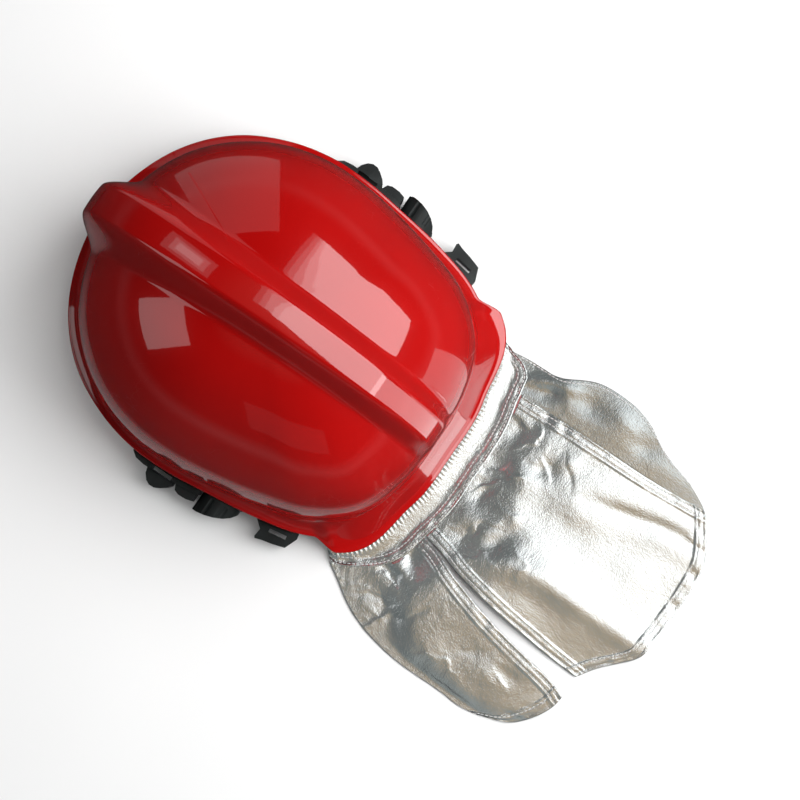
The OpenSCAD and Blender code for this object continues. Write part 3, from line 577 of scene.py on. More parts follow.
def sew(name, lines, body="helmet", pitch=3.1, length=2.5, r=0.38, mat="thread"):
    """Rows of stitches, each a short thread that rises out of the cloth and goes back in."""
    V, F = [], []
    for line in lines:
        if len(line) < 3:
            continue
        s = np.concatenate([[0], np.cumsum(np.linalg.norm(np.diff(line[:, :3], axis=0), axis=1))])
        for s0 in np.arange(0.6, s[-1] - length, pitch):
            at = s0 + length * np.array([0, 0.16, 0.5, 0.84, 1.0])
            c = np.stack([np.interp(at, s, line[:, k]) for k in range(6)], -1)
            n = c[:, 3:] / np.linalg.norm(c[:, 3:], axis=1, keepdims=True)
            t = c[-1, :3] - c[0, :3]
            t /= np.linalg.norm(t)
            b = np.cross(n, t)
            c = c[:, :3] + n * (np.array([-0.25, 0.08, 0.16, 0.08, -0.25]))[:, None]
            k0 = len(V)
            for k, rr in enumerate((0.6, 1, 1, 1, 0.6)):
                for a in (0, 72, 144, 216, 288):
                    a = math.radians(a + 90)
                    V.append(c[k] + rr * r * (math.cos(a) * b[k] + math.sin(a) * n[k]))
            for k in range(4):
                for j in range(5):
                    F.append((k0 + 5 * k + j, k0 + 5 * k + (j + 1) % 5, k0 + 5 * k + 5 + (j + 1) % 5, k0 + 5 * k + 5 + j))
            F.append(tuple(k0 + j for j in (4, 3, 2, 1, 0)))
            F.append(tuple(k0 + 20 + j for j in range(5)))
    o = mesh_object(name, np.array(V), F, body, 60)
    use(o, mat)
    return o


def area_of(P):
    d1, d2 = P[1:, 1:] - P[:-1, :-1], P[1:, :-1] - P[:-1, 1:]
    return np.linalg.norm(np.cross(d1, d2), axis=-1).sum() / 2


def cloth_piece(name, P, node_name, thick=0.65, mat="silver"):
    up = np.cross(np.gradient(P, axis=1), np.gradient(P, axis=0))[..., 2].mean() > 0
    o = mesh_object(name, P, grid_faces(P.shape[0], P.shape[1], flip=bool(up)), "helmet", 75)
    use(o, mat)
    m = o.modifiers.new("thickness", "SOLIDIFY")
    m.thickness, m.offset = thick / 1000, -1.0
    o.visible_glossy = False  # the blown-out cloth stays out of the paint's gloss
    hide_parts(node_name)
    return o


def seam_r(th):
    """How far out the collar's sewn edge lies, from the shell's axis."""
    t = np.mod(th, 360)
    return edge_r(th) + np.where(t > 180, -3 + 25.5 * smooth(145, 156, fold(th)), 9 + 13.5 * smooth(140, 158, t))


def hem_shape(dist, along, seed, width=8.0, lift=0.45):
    """A doubled edge: a step of one more layer, puckered between its stitches."""
    band = 1 - smooth(width, width + 1.2, dist)
    waves = value_noise(np.stack([along / 6.5, dist / 14 + 3], -1), seed)
    return band * (lift + 0.34 * waves * smooth(0, 2.5, dist)) - 0.22 * np.exp(-((dist - 2.8) / 0.8) ** 2) - 0.22 * np.exp(-((dist - 7.0) / 0.8) ** 2)


def edge_distances(P):
    """Distance of each grid point from the left, right, top and bottom edge, along the cloth."""
    du = np.linalg.norm(np.diff(P, axis=1), axis=2)
    dv = np.linalg.norm(np.diff(P, axis=0), axis=2)
    l = np.concatenate([np.zeros((P.shape[0], 1)), np.cumsum(du, 1)], 1)
    t = np.concatenate([np.zeros((1, P.shape[1])), np.cumsum(dv, 0)], 0)
    return l, l[:, -1:] - l, t, t[-1:] - t


def panel_grid(top, bottom, left, right, cell=3.2):
    length = lambda c: np.linalg.norm(np.diff(curve(c, 60), axis=0), axis=1).sum()
    nu = int(max(length(top), length(bottom)) / cell) + 1
    nv = int(max(length(left), length(right)) / cell) + 1
    G = coons(curve(top, nu), curve(bottom, nu), curve(left, nv), curve(right, nv))
    return np.concatenate([G, np.zeros(G.shape[:2] + (1,))], -1)


CELL = 0.85


def finish_panel(P, seed, hems, rough_near, size=9.0, amount=0.5):
    """Refines a settled panel, and adds hems and the small creases of a stiff coated cloth."""
    l, r, t, b = edge_distances(P)
    F = finer(P, int(t[-1].max() / CELL), int(l[:, -1].max() / CELL))
    l, r, t, b = edge_distances(F)
    x, y = F[..., 0], F[..., 1]
    mask = rough_near(x, y)
    q = np.stack([x, y], -1)
    crease = fractal((q + 5 * np.stack([value_noise(q / 16, seed + 50), value_noise(q / 16, seed + 51)], -1)) / size, seed, 3, ridged=True)
    add = amount * mask * crease + 0.035 * fractal(q / 5.5, seed + 9, 2)
    for side, dist, along in (("l", l, t), ("r", r, t), ("t", t, l), ("b", b, l)):
        if side in hems:
            add = add + hem_shape(dist, along, seed + ord(side), 8.5)
    F[..., 2] += add
    F[..., 2] = np.maximum(F[..., 2], 0.75)
    return F


def folded(P, creases, seed):
    """Creases along lines, each a ridge that is steeper on one side and fades out at its ends."""
    x, y = P[..., 0], P[..., 1]
    q = np.stack([x / 7, y / 7], -1)
    wx, wy = 3.0 * (value_noise(q, seed) - 0.5), 3.0 * (value_noise(q, seed + 1) - 0.5)
    z = np.zeros(x.shape)
    for line, height, width in creases:
        m, a, s = spans(line, x + wx, y + wy)
        w = np.where(s > 0, 0.55 * width, 1.5 * width)
        z += 0.62 * height * np.exp(-(m / w) ** 1.6) * np.sin(math.pi * np.clip(0.08 + 0.84 * a, 0, 1)) ** 0.7
    return z


COLLAR_LEFT, COLLAR_RIGHT = 139.0, 214.0


def under_collar(th, k=6.0):
    p = plan(th, seam_r(th) - k, 0)
    return p[..., :2]


def make_cape():
    pieces = {}
    # the collar: up inside the skirt, under the rim and out to its sewn edge
    cell = 0.8
    th = np.linspace(COLLAR_LEFT, COLLAR_RIGHT, int(240 / cell))
    rw, ro, rs = wall_r(th), edge_r(th), seam_r(th)
    rim = tab(RIM, th) - 4.0
    rows = []
    for z in np.linspace(46.5, 9, int(36 / (cell * 1.5))):
        rows.append(plan(th, rw - 4.9 + 0.35 * np.sin(th * 0.9 + z * 0.05), z))
    for a in np.linspace(0, math.pi / 2, 7)[1:]:
        rows.append(plan(th, rw - 4.9 + 4.5 * (1 - math.cos(a)) + 0.4, 9 - 5.4 * math.sin(a)))
    flat_from = len(rows)
    n_out = int(42 / cell)
    for k in range(1, n_out + 1):
        t = k / n_out
        r = (rw - 0.0) + (rs - rw) * t
        beyond = r - ro
        s = np.clip(beyond / np.maximum(rs - ro, 4), -1, 1)
        z = 3.6 + 0.5 * smooth(-6, 0, beyond) - 1.6 * smooth(0, 0.55, s) + 1.0 * smooth(0.55, 1.0, s)
        gather = np.sin(th * 2.75 * 2 + 1.2 * value_noise(np.stack([th / 3.0, th * 0], -1), 3)) * 0.2 * np.exp(-((beyond - 1.0) / 2.4) ** 2)
        q = np.stack([th * 2.9 / 15, r / 3.6 + 0.8 * value_noise(np.stack([th * 2.9 / 22, r / 9], -1), 71)], -1)
        long_folds = fractal(q, 61, 3, ridged=True)
        z = z + np.where(beyond > -3, smooth(-1, 4, beyond) * 0.16 * long_folds + gather * smooth(-2.5, 0, beyond), 0)
        row = plan(th, r, np.maximum(z, 0.9))
        rows.append(row)
    P = np.array(rows)
    top_cap = (tab(RIM, th) - 4.6)[None, :]
    inside = (np.hypot(P[..., 0], P[..., 1]) < ro[None, :] + 0.8) & (np.arange(len(P))[:, None] >= flat_from)
    P[..., 2] = np.where(inside, np.minimum(P[..., 2], np.maximum(top_cap, 1.2)), P[..., 2])
    P[..., 2] += hem_shape(edge_distances(P)[3], edge_distances(P)[0], 5, 7.5, 0.35) * (np.arange(len(P))[:, None] > flat_from + 4)
    collar = cloth_piece("cape_collar", P, "cape_band")
    pieces["collar"] = (collar, P, sew("cape_collar_stitches", [edge_line(P, normals(P), "b", d, (3, 3)) for d in (2.2, 6.8)]))

    # the middle panel
    top = under_collar(np.linspace(161.5, 201.5, 12))
    left = [tuple(top[0]), (60, 186), (65.5, 203), (69.5, 223.5), (72.5, 244), (74.7, 266), (76.8, 288), (78, 312.5)]
    right = [tuple(top[-1]), (-65, 202), (-65.5, 236), (-66.5, 278), (-70, 323)]
    bottom = [(78, 312.5), (63, 323), (43, 341), (29, 344), (4, 346), (-22, 346), (-42, 342), (-66, 327), (-70, 323)]
    G = panel_grid(top, bottom, left, right)
    x, y = G[..., 0], G[..., 1]
    d = np.hypot(x, y) - seam_r(180 - np.degrees(np.arctan2(x, y)))
    ease = value_noise(np.stack([x / 23, y / 60], -1), 21)
    reach = 31 + 24 * smooth(-5, 35, x)
    rise = np.clip(d / reach, 0, 1)
    z = 2.0 + (3.0 + 0.6 * ease + 2.3 * smooth(-5, 35, x)) * (rise - 0.03 * np.sin(2 * math.pi * rise)) - (2.9 + 2.0 * smooth(-5, 35, x)) * smooth(58, 165, d)
    z += 1.0 * smooth(25, 60, d) - 0.065 * np.maximum(x - 38, 0) * smooth(20, 45, d)
    m, a, s = spans([(62, 177), (64, 196), (44, 222), (36, 253), (36, 279), (36, 313), (37, 348)], x, y)
    z += 1.5 * np.exp(-(m / 10) ** 2) * smooth(0.05, 0.3, a) + np.where(s > 0, -0.9, 0.0) * smooth(0, 18, m) * smooth(0.1, 0.4, a)
    m, a, s = spans([(-29, 250), (-35, 273), (-43, 303), (-49, 341)], x, y)
    z += -1.1 * np.exp(-(m / 4.5) ** 2) * smooth(-0.1, 0.35, a) + 0.4 * np.exp(-((m - 11) / 8) ** 2)
    for cx, cy, h, rx, ry, turn in ((-14, 187, -2.2, 8, 6, 20), (-17, 200, 1.5, 6, 10, 0), (-30, 213, -2.4, 6, 11, 30), (-41, 224, 1.6, 8, 5, -20),
                                    (-60, 188, -1.8, 7, 9, 0), (-43, 184, -2.2, 10, 6, -15), (8, 185, -2.0, 9, 6, 0), (28, 188, 1.3, 7, 9, 10), (43, 192, -2.0, 8, 7, 20),
                                    (26, 205, 1.6, 9, 6, 0), (34, 214, -2.2, 6, 5, 0), (22, 219, -1.6, 6, 8, 40), (-2, 212, 1.2, 12, 9, 0)):
        z += bump_at(x, y, cx, cy, 0.6 * h, 1.15 * rx, 1.15 * (ry or rx), turn)
    z += 0.4 * fractal(np.stack([x / 40, y / 40], -1), 31, 2)
    G[..., 2] = np.clip(z, 1.0, 9.5)
    extra = 0.0010 + 0.005 * np.exp(-np.maximum(d, 0) / 20) + 0.001 * smooth(0.3, 0.9, value_noise(np.stack([x / 45, y / 45], -1), 8))
    edge = np.zeros(x.shape, bool)
    edge[0], edge[-1], edge[:, 0], edge[:, -1] = True, True, True, True
    pin = np.zeros(x.shape, bool)
    pin[0] = True
    under = d < -1
    low = np.where(x < -48, 2.6, 1.0)
    high = np.where(under, 2.0, 9.5)
    S = settle(G, extra, edge, pin, low, high, 160, aim=0.06)
    creases = (([(-7, 180), (-17, 189), (-15, 205)], 0.9, 2.6), ([(16, 176), (5, 181), (-6, 187)], 0.8, 2.4), ([(27, 226), (33, 238), (40, 239)], 0.8, 2.6),
               ([(-47, 219), (-31, 234)], -0.6, 3.0), ([(-36, 204), (-27, 217)], 0.8, 2.6), ([(40, 190), (26, 196), (22, 208)], -0.7, 3.0), ([(8, 192), (10, 208), (3, 220)], 0.6, 3.2),
               ([(-58, 190), (-44, 194), (-34, 190)], 0.7, 2.6), ([(52, 196), (44, 208), (46, 222)], 0.5, 3.0))
    F = finish_panel(S, 11, "lrb", lambda x, y: 0.09 + 0.20 * np.exp(-np.maximum(np.hypot(x, y) - 178, 0) / 26))
    dd = np.hypot(F[..., 0], F[..., 1]) - seam_r(180 - np.degrees(np.arctan2(F[..., 0], F[..., 1])))
    F[..., 2] += folded(F, creases, 3) * smooth(2, 8, dd)
    F[..., 2] = np.maximum(np.where(dd < 0.5, np.minimum(F[..., 2], 1.9), F[..., 2]), 0.75)
    piece = cloth_piece("cape_sheet_middle", F, "cape_panel_center")
    N = normals(F)
    rows = [edge_line(F, N, "l", e, (7, 3)) for e in (2.6, 7.0)] + [edge_line(F, N, "r", e, (7, 3)) for e in (2.6, 7.0)] + [edge_line(F, N, "b", 8.0, (4, 4))]
    pieces["middle"] = (piece, F, sew("cape_middle_stitches", rows))

    # the left panel
    top = under_collar(np.linspace(140, 161.0, 9), 4.0)
    left = [tuple(top[0]), (109, 124), (117, 137), (125, 149), (132, 164), (137, 182), (140, 205), (140, 239), (141, 256), (138, 272)]
    right = [tuple(top[-1]), (60, 181), (67.5, 199), (75, 223), (81, 247), (85.5, 272), (90, 298), (95, 312)]
    bottom = [(138, 272), (131, 291), (120, 302), (106, 310), (95, 312)]
    G = panel_grid(top, bottom, left, right)
    x, y = G[..., 0], G[..., 1]
    l, r, t, b = edge_distances(G)
    d = np.hypot(x, y) - seam_r(180 - np.degrees(np.arctan2(x, y)))
    m, a, s = spans([(64, 176), (84, 186), (98, 191), (109, 198), (117, 209), (121, 226), (126, 250), (124, 280)], x, y)
    plateau = np.where(s > 0, 1.0, 0.0)
    z = 2.0 + (1.2 + 3.8 * np.where(s > 0, 1, 1 - smooth(0, 26, m))) * smooth(0, 30, d) - 1.6 * smooth(60, 150, d) - 0.045 * np.maximum(x - 80, 0)
    z -= 3.2 * (1 - smooth(0, 17, l)) * smooth(20, 60, d)
    for cx, cy, h, rx, ry, turn in ((84, 166, 2.6, 4, 13, -28), (92, 163, -2.6, 4, 12, -28), (76, 172, -2.4, 4, 11, -22), (101, 168, 2.2, 6, 15, -40), (112, 176, -2.4, 6, 16, -40),
                                    (104, 232, -0.6, 12, 18, 0), (112, 262, 0.9, 9, 15, 10), (104, 272, -1.1, 6, 11, 15), (97, 279, 0.8, 7, 9, 0), (88, 222, 0.4, 14, 20, 0)):
        z += bump_at(x, y, cx, cy, h, rx, ry, turn)
    z += 0.3 * fractal(np.stack([x / 34, y / 34], -1), 37, 2)
    G[..., 2] = np.clip(z, 1.0, 10.5)
    extra = 0.0012 + 0.007 * np.exp(-np.maximum(d, 0) / 16) + 0.0015 * smooth(0.1, 0.8, value_noise(np.stack([x / 30, y / 30], -1), 18))
    edge = np.zeros(x.shape, bool)
    edge[0], edge[-1], edge[:, 0], edge[:, -1] = True, True, True, True
    pin = np.zeros(x.shape, bool)
    pin[0] = True
    S = settle(G, extra, edge, pin, np.full(x.shape, 1.0), np.where(d < -1, 2.0, 10.5), 160, aim=0.06)
    F = finish_panel(S, 13, "rb", lambda x, y: 0.16 + 0.5 * np.exp(-np.maximum(np.hypot(x, y) - 178, 0) / 26))
    dd = np.hypot(F[..., 0], F[..., 1]) - seam_r(180 - np.degrees(np.arctan2(F[..., 0], F[..., 1])))
    creases = (([(93, 148), (95, 171), (82, 173)], 0.9, 2.6), ([(113, 153), (108, 179)], -0.8, 3.0), ([(136, 170), (118, 174), (104, 181)], 0.8, 2.8), ([(118, 178), (108, 192), (96, 196)], -0.7, 3.0),
               ([(106, 262), (113, 276)], 0.7, 2.4), ([(106, 232), (97, 247)], -0.5, 3.0), ([(126, 206), (120, 226), (124, 244)], 0.6, 3.4))
    F[..., 2] += folded(F, creases, 5) * smooth(2, 8, dd)
    F[..., 2] = np.maximum(np.where(dd < 0.5, np.minimum(F[..., 2], 1.9), F[..., 2]), 0.75)
    piece = cloth_piece("cape_sheet_left", F, "cape_panel_left")
    N = normals(F)
    rows = [edge_line(F, N, "r", e, (8, 3)) for e in (2.6, 7.0)] + [edge_line(F, N, "b", 7.0, (3, 4))]
    pieces["left"] = (piece, F, sew("cape_left_stitches", rows))

    # the right panel, partly under the middle one
    top = under_collar(np.linspace(197, 211.5, 8), 5.0)
    left = [tuple(top[0]), (-52, 190), (-52, 230), (-54, 275), (-58, 322)]
    right = [tuple(top[-1]), (-88, 160), (-88.5, 172), (-90, 186), (-102, 210), (-103.5, 236), (-99, 256), (-88, 277), (-80, 304)]
    bottom = [(-58, 322), (-64, 324), (-71, 322), (-80, 304)]
    G = panel_grid(top, bottom, left, right)
    x, y = G[..., 0], G[..., 1]
    l, r, t, b = edge_distances(G)
    d = np.hypot(x, y) - seam_r(180 - np.degrees(np.arctan2(x, y)))
    z = 1.2 + 0.055 * np.maximum(-62 - x, 0) * smooth(5, 30, d) + 1.6 * smooth(0, 40, d) * smooth(-64, -80, x) - 1.2 * smooth(90, 160, d) * smooth(-64, -80, x)
    for cx, cy, h, rx, ry, turn in ((-80, 176, 2.4, 4, 9, 30), (-76, 184, -2.0, 4, 9, 20), (-86, 192, 1.6, 5, 10, 20), (-84, 214, -1.2, 8, 12, 0), (-90, 240, 1.2, 8, 14, -20), (-82, 262, -1.2, 7, 12, 20)):
        z += bump_at(x, y, cx, cy, h, rx, ry, turn)
    G[..., 2] = np.where(x > -63, 1.0, np.clip(z, 1.0, 8.5))
    extra = 0.002 + 0.010 * np.exp(-np.maximum(d, 0) / 14)
    edge = np.zeros(x.shape, bool)
    edge[0], edge[-1], edge[:, 0], edge[:, -1] = True, True, True, True
    pin = np.zeros(x.shape, bool)
    pin[0] = True
    S = settle(G, extra, edge, pin, np.full(x.shape, 0.9), np.where(d < -1, 1.6, np.where(x > -64, 1.2, np.where(x > -69, 2.2, 8.5))), 160, aim=0.08)
    F = finish_panel(S, 17, "", lambda x, y: np.where(x > -66, 0.0, 0.14 + 0.3 * np.exp(-np.maximum(np.hypot(x, y) - 184, 0) / 22)))
    F[..., 2] = np.where(F[..., 0] > -66, np.minimum(F[..., 2], 1.3), F[..., 2])
    piece = cloth_piece("cape_sheet_right", F, "cape_panel_right")
    N = normals(F)
    pieces["right"] = (piece, F, sew("cape_right_stitches", [edge_line(F, N, "r", e, (12, 3)) for e in (3.0,)]))

    for key, (o, F, st) in pieces.items():
        a = area_of(F)
    return pieces


cape = make_cape()

# ------------------------------------------------------------------ pads
BAND_HW, BAND_FRONT, BAND_T, BAND_Y, RACK_R = 80.0, 112.0, 1.8, 17.0, 81.2


def band_point(b, d):
    b = np.radians(b)
    return np.stack([(BAND_HW + d) * np.sin(b), BAND_Y - (np.where(np.cos(b) > 0, BAND_FRONT, BAND_HW) + d) * np.cos(b)], -1)


def ring_line(b0, b1, at, z):
    """A level line along the band or the nape at one height."""
    b = np.linspace(b0, b1, 200)
    xy = at(b)
    return np.concatenate([xy, np.full((len(b), 1), float(z))], 1)


def upright_line(b, at, z0, z1):
    z = np.linspace(z0, z1, 40)
    return np.concatenate([np.repeat(at(np.array([b])), 40, 0), z[:, None]], 1)


def nape_at(r):
    return lambda a: np.stack([r * np.sin(np.radians(a)), BAND_Y + r * np.cos(np.radians(a))], -1)


def brow_at(d):
    return lambda b: band_point(b, d)


def channels(at, b0, b1, z0, z1, inset, cuts):
    k = inset / 90.0 * 57.3
    lines = [ring_line(b0 + k, b1 - k, at, z0 + inset), ring_line(b0 + k, b1 - k, at, z1 - inset), upright_line(b0 + k, at, z0 + inset, z1 - inset),
             upright_line(b1 - k, at, z0 + inset, z1 - inset)]
    return lines + [upright_line(b, at, z0 + inset, z1 - inset) for b in cuts]


def rounded_box(cx, cy, hx, hy, r, z, n=160):
    out = []
    for k, (sx, sy) in enumerate(((1, 1), (-1, 1), (-1, -1), (1, -1))):
        for a in np.linspace(0, 90, n // 4):
            t = math.radians(a + 90 * k)
            out.append((cx + sx * (hx - r) + r * math.cos(t), cy + sy * (hy - r) + r * math.sin(t), z))
    out.append(out[0])
    return np.array(out)


def circle_line(cx, cy, r, z, n=160):
    a = np.linspace(0, 2 * math.pi, n)
    return np.stack([cx + r * np.cos(a), cy + r * np.sin(a), np.full(n, float(z))], -1)


PADS = [
    # name, node, voxel mm, shrink mm, cap mm, side that stays against its support, sewn channels
    ("brow_sweatband_pad", "brow_sweatband", 1.7, 0.45, 1.1, "out", channels(brow_at(-BAND_T - 4.2), -64, 64, 24, 58, 4.0, (-40, -20, 0, 20, 40))),
    ("nape_comfort_pad", "nape_pad", 1.7, 0.45, 1.1, "out", channels(nape_at(RACK_R - 8), -26, 26, 20, 56, 4.0, (-9, 9))),
    ("chin_comfort_pad", "chin_pad", 1.5, 0.45, 1.3, "down", [rounded_box(-18, 28, 30 - 3.6, 16 - 3.6, 5.0, 7.5)]),
    ("crown_comfort_pad", "crown_pad", 1.7, 0.5, 1.2, None, [circle_line(0, 6, 30.0, 106.5), circle_line(0, 6, 12.0, 106.5)] + [circle_line(0, 6, 30.0, 111.5)]),
]


def coords(me):
    a = np.empty(len(me.vertices) * 3, np.float32)
    me.vertices.foreach_get("co", a)
    return a.reshape(-1, 3).astype(float)


def vertex_normals(me):
    a = np.empty(len(me.vertices) * 3, np.float32)
    me.vertices.foreach_get("normal", a)
    return a.reshape(-1, 3).astype(float)


def nearest(points, targets):
    out = np.empty(len(points))
    for i in range(0, len(points), 2000):
        d = ((points[i:i + 2000, None, :] - targets[None, :, :]) ** 2).sum(-1)
        out[i:i + 2000] = np.sqrt(d.min(1))
    return out


def make_pads():
    made = []
    for name, node_name, voxel, shrink, cap, side, lines in PADS:
        src = nodes[node_name]
        me = src.data.copy()
        me.transform(src.matrix_world)
        o = bpy.data.objects.new(name, me)
        scene.collection.objects.link(o)
        w = o.modifiers.new("weld", "WELD")
        w.merge_threshold = 0.00002
        r = o.modifiers.new("voxels", "REMESH")
        r.mode, r.voxel_size = "VOXEL", voxel / 1000
        s = o.modifiers.new("even", "SMOOTH")
        s.factor, s.iterations = 0.5, 3
        dg = bpy.context.evaluated_depsgraph_get()
        me2 = bpy.data.meshes.new_from_object(o.evaluated_get(dg))
        me2.name = name
        o.modifiers.clear()
        o.data = me2
        co, no = coords(me2), vertex_normals(me2)
        sewn = np.concatenate([metres(x) for x in lines])
        dist = nearest(co, sewn) * 1000
        start = co - no * (shrink / 1000)
        groove = np.exp(-(dist / 1.5) ** 2)
        start -= no * (0.75 * groove / 1000)[:, None]
        me2.vertices.foreach_set("co", start.astype(np.float32).ravel())
        me2.update()
        hold = o.vertex_groups.new(name="sewn")
        if side == "out":
            mid = np.stack([0 * co[:, 0], co[:, 1] * 0 + (BAND_Y - OY) / 1000], -1)
            rad = co[:, :2] - mid
            rad /= np.linalg.norm(rad, axis=1, keepdims=True)
            against = (no[:, :2] * rad).sum(1) > 0.25
        elif side == "down":
            against = no[:, 2] < -0.25
        else:
            against = np.zeros(len(co), bool)
        fixed = (dist < 1.1) | against
        hold.add([int(i) for i in np.nonzero(fixed)[0]], 1.0, "REPLACE")
        c = o.modifiers.new("cloth", "CLOTH")
        st = c.settings
        st.quality, st.mass = 5, 0.0008
        st.tension_stiffness = st.compression_stiffness = 5
        st.shear_stiffness, st.bending_stiffness = 3, 0.2
        st.use_pressure, st.uniform_pressure_force = True, 60.0
        st.effector_weights.gravity = 0
        st.vertex_group_mass = "sewn"
        c.collision_settings.use_collision = False
        c.point_cache.frame_start, c.point_cache.frame_end = 1, 20
        made.append((name, node_name, o, start, no, cap, against, lines))
    scene.frame_start, scene.frame_end = 1, 20
    for f in range(1, 21):
        scene.frame_set(f)
    dg = bpy.context.evaluated_depsgraph_get()
    for name, node_name, o, start, no, cap, against, lines in made:
        blown = coords(o.evaluated_get(dg).data)
        d = blown - start
        L = np.linalg.norm(d, axis=1)
        print("PAD", name, len(start), "moved mm mean %.2f max %.2f" % (1000 * L.mean(), 1000 * L.max()))
        d *= np.minimum(1, (cap / 1000) / np.maximum(L, 1e-9))[:, None]
        o.modifiers.clear()
        o.data.vertices.foreach_set("co", (start + d).astype(np.float32).ravel())
        o.data.update()
    scene.frame_set(1)
    for name, node_name, o, start, no, cap, against, lines in made:
        me = o.data
        if name == "crown_comfort_pad":  # the straps over it hold it in a shallow dome
            co = coords(me)
            rr = np.hypot(co[:, 0], co[:, 1] - (6 - OY) / 1000) * 1000
            co[:, 2] += 0.0052 * (1 - np.clip(rr / 37, 0, 1) ** 2)
            me.vertices.foreach_set("co", co.astype(np.float32).ravel())
        o.vertex_groups.clear()
        me.polygons.foreach_set("use_smooth", [True] * len(me.polygons))
        me.update()
        use(o, "pad")
        sub = o.modifiers.new("smooth_skin", "SUBSURF")
        sub.levels = sub.render_levels = 1
        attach(o, "helmet")
        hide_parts(node_name)
        # stitches lie in the sewn channels
        from mathutils.bvhtree import BVHTree
        tree = BVHTree.FromPolygons([v.co for v in me.vertices], [tuple(p.vertices) for p in me.polygons])
        rows = []
        for line in lines:
            row = []
            for p in metres(line):
                hit, n, i, dd = tree.find_nearest(Vector(p))
                if hit is not None and dd < 0.0075:
                    h = np.array(hit) * 1000
                    row.append((h[0], h[1] + OY, h[2], n.x, n.y, n.z))
            if len(row) > 3:
                rows.append(np.array(row))
        sew(name + "_stitches", rows, pitch=3.6, length=2.6, r=0.22, mat="pad")
    return [x[2] for x in made]


# ------------------------------------------------------------------ straps, modelled directly
def strip(path, wide, w, t, ripple=0.0, seed=1):
    """A closed band of webbing along a path, its width along wide; returns points, faces and the rows of its middle, with normals."""
    path, wide = np.asarray(path, float), np.asarray(wide, float)
    d = np.gradient(path, axis=0)
    d /= np.linalg.norm(d, axis=1, keepdims=True)
    e = wide - d * (wide * d).sum(1, keepdims=True)
    e /= np.linalg.norm(e, axis=1, keepdims=True)
    q = np.cross(d, e)
    sec = [(-0.5, -0.2), (-0.488, -0.42), (-0.46, -0.5), (-0.15, -0.47), (0.15, -0.47), (0.46, -0.5), (0.488, -0.42), (0.5, -0.2),
           (0.5, 0.2), (0.488, 0.42), (0.46, 0.5), (0.15, 0.47), (-0.15, 0.47), (-0.46, 0.5), (-0.488, 0.42), (-0.5, 0.2)]
    s = np.concatenate([[0], np.cumsum(np.linalg.norm(np.diff(path, axis=0), axis=1))])
    lift = ripple * (value_noise(np.stack([s / 17, s * 0], -1), seed) - 0.5) * np.minimum(1, np.minimum(s, s[-1] - s) / 12)
    rows = [path + e * (u * w) + q * (v * t + lift[:, None]) for u, v in sec]
    P = np.stack(rows, 1)
    n, m = P.shape[:2]
    F = [tuple(f) for f in grid_faces(n, m, wrap=True)]
    F += [tuple(range(m)), tuple((n - 1) * m + j for j in range(m - 1, -1, -1))]
    mids = {}
    for key, u in (("mid", 0.0), ("a", -0.42), ("b", 0.42)):
        mids[key] = np.concatenate([path + e * (u * w) + q * (0.5 * t + lift[:, None]), q], 1)
    return P.reshape(-1, 3), F, mids, s


def strap_object(name, node_name, parts, mat):
    V, F, k = [], [], 0
    for P, faces in parts:
        V.append(P)
        F += [tuple(i + k for i in f) for f in faces]
        k += len(P)
    o = mesh_object(name, np.concatenate(V), F, "helmet", 50)
    bm = bmesh.new()
    bm.from_mesh(o.data)
    bmesh.ops.recalc_face_normals(bm, faces=bm.faces)
    bm.to_mesh(o.data)
    bm.free()
    use(o, mat)
    if node_name:
        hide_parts(node_name)
    return o


def box_stitch(mids, s, s0, s1):
    """A box of stitches with a cross in it, between two stations along a strap."""
    a, b = mids["a"], mids["b"]

    def at(m, x):
        return np.array([np.interp(x, s, m[:, k]) for k in range(6)])
    out = []
    for m in (a, b):
        out.append(np.array([at(m, x) for x in np.linspace(s0, s1, 24)]))
    for x in (s0, s1):
        out.append(np.array([at(a, x) * (1 - f) + at(b, x) * f for f in np.linspace(0, 1, 24)]))
    for x0, x1 in ((s0, s1), (s1, s0)):
        out.append(np.array([at(a, x0 + (x1 - x0) * f) * (1 - f) + at(b, x0 + (x1 - x0) * f) * f for f in np.linspace(0, 1, 30)]))
    return out


def both_faces(lines, t):
    """The same stitches seen on the other face of a strap."""
    return lines + [np.concatenate([x[:, :3] - x[:, 3:] * t, -x[:, 3:]], 1) for x in lines]


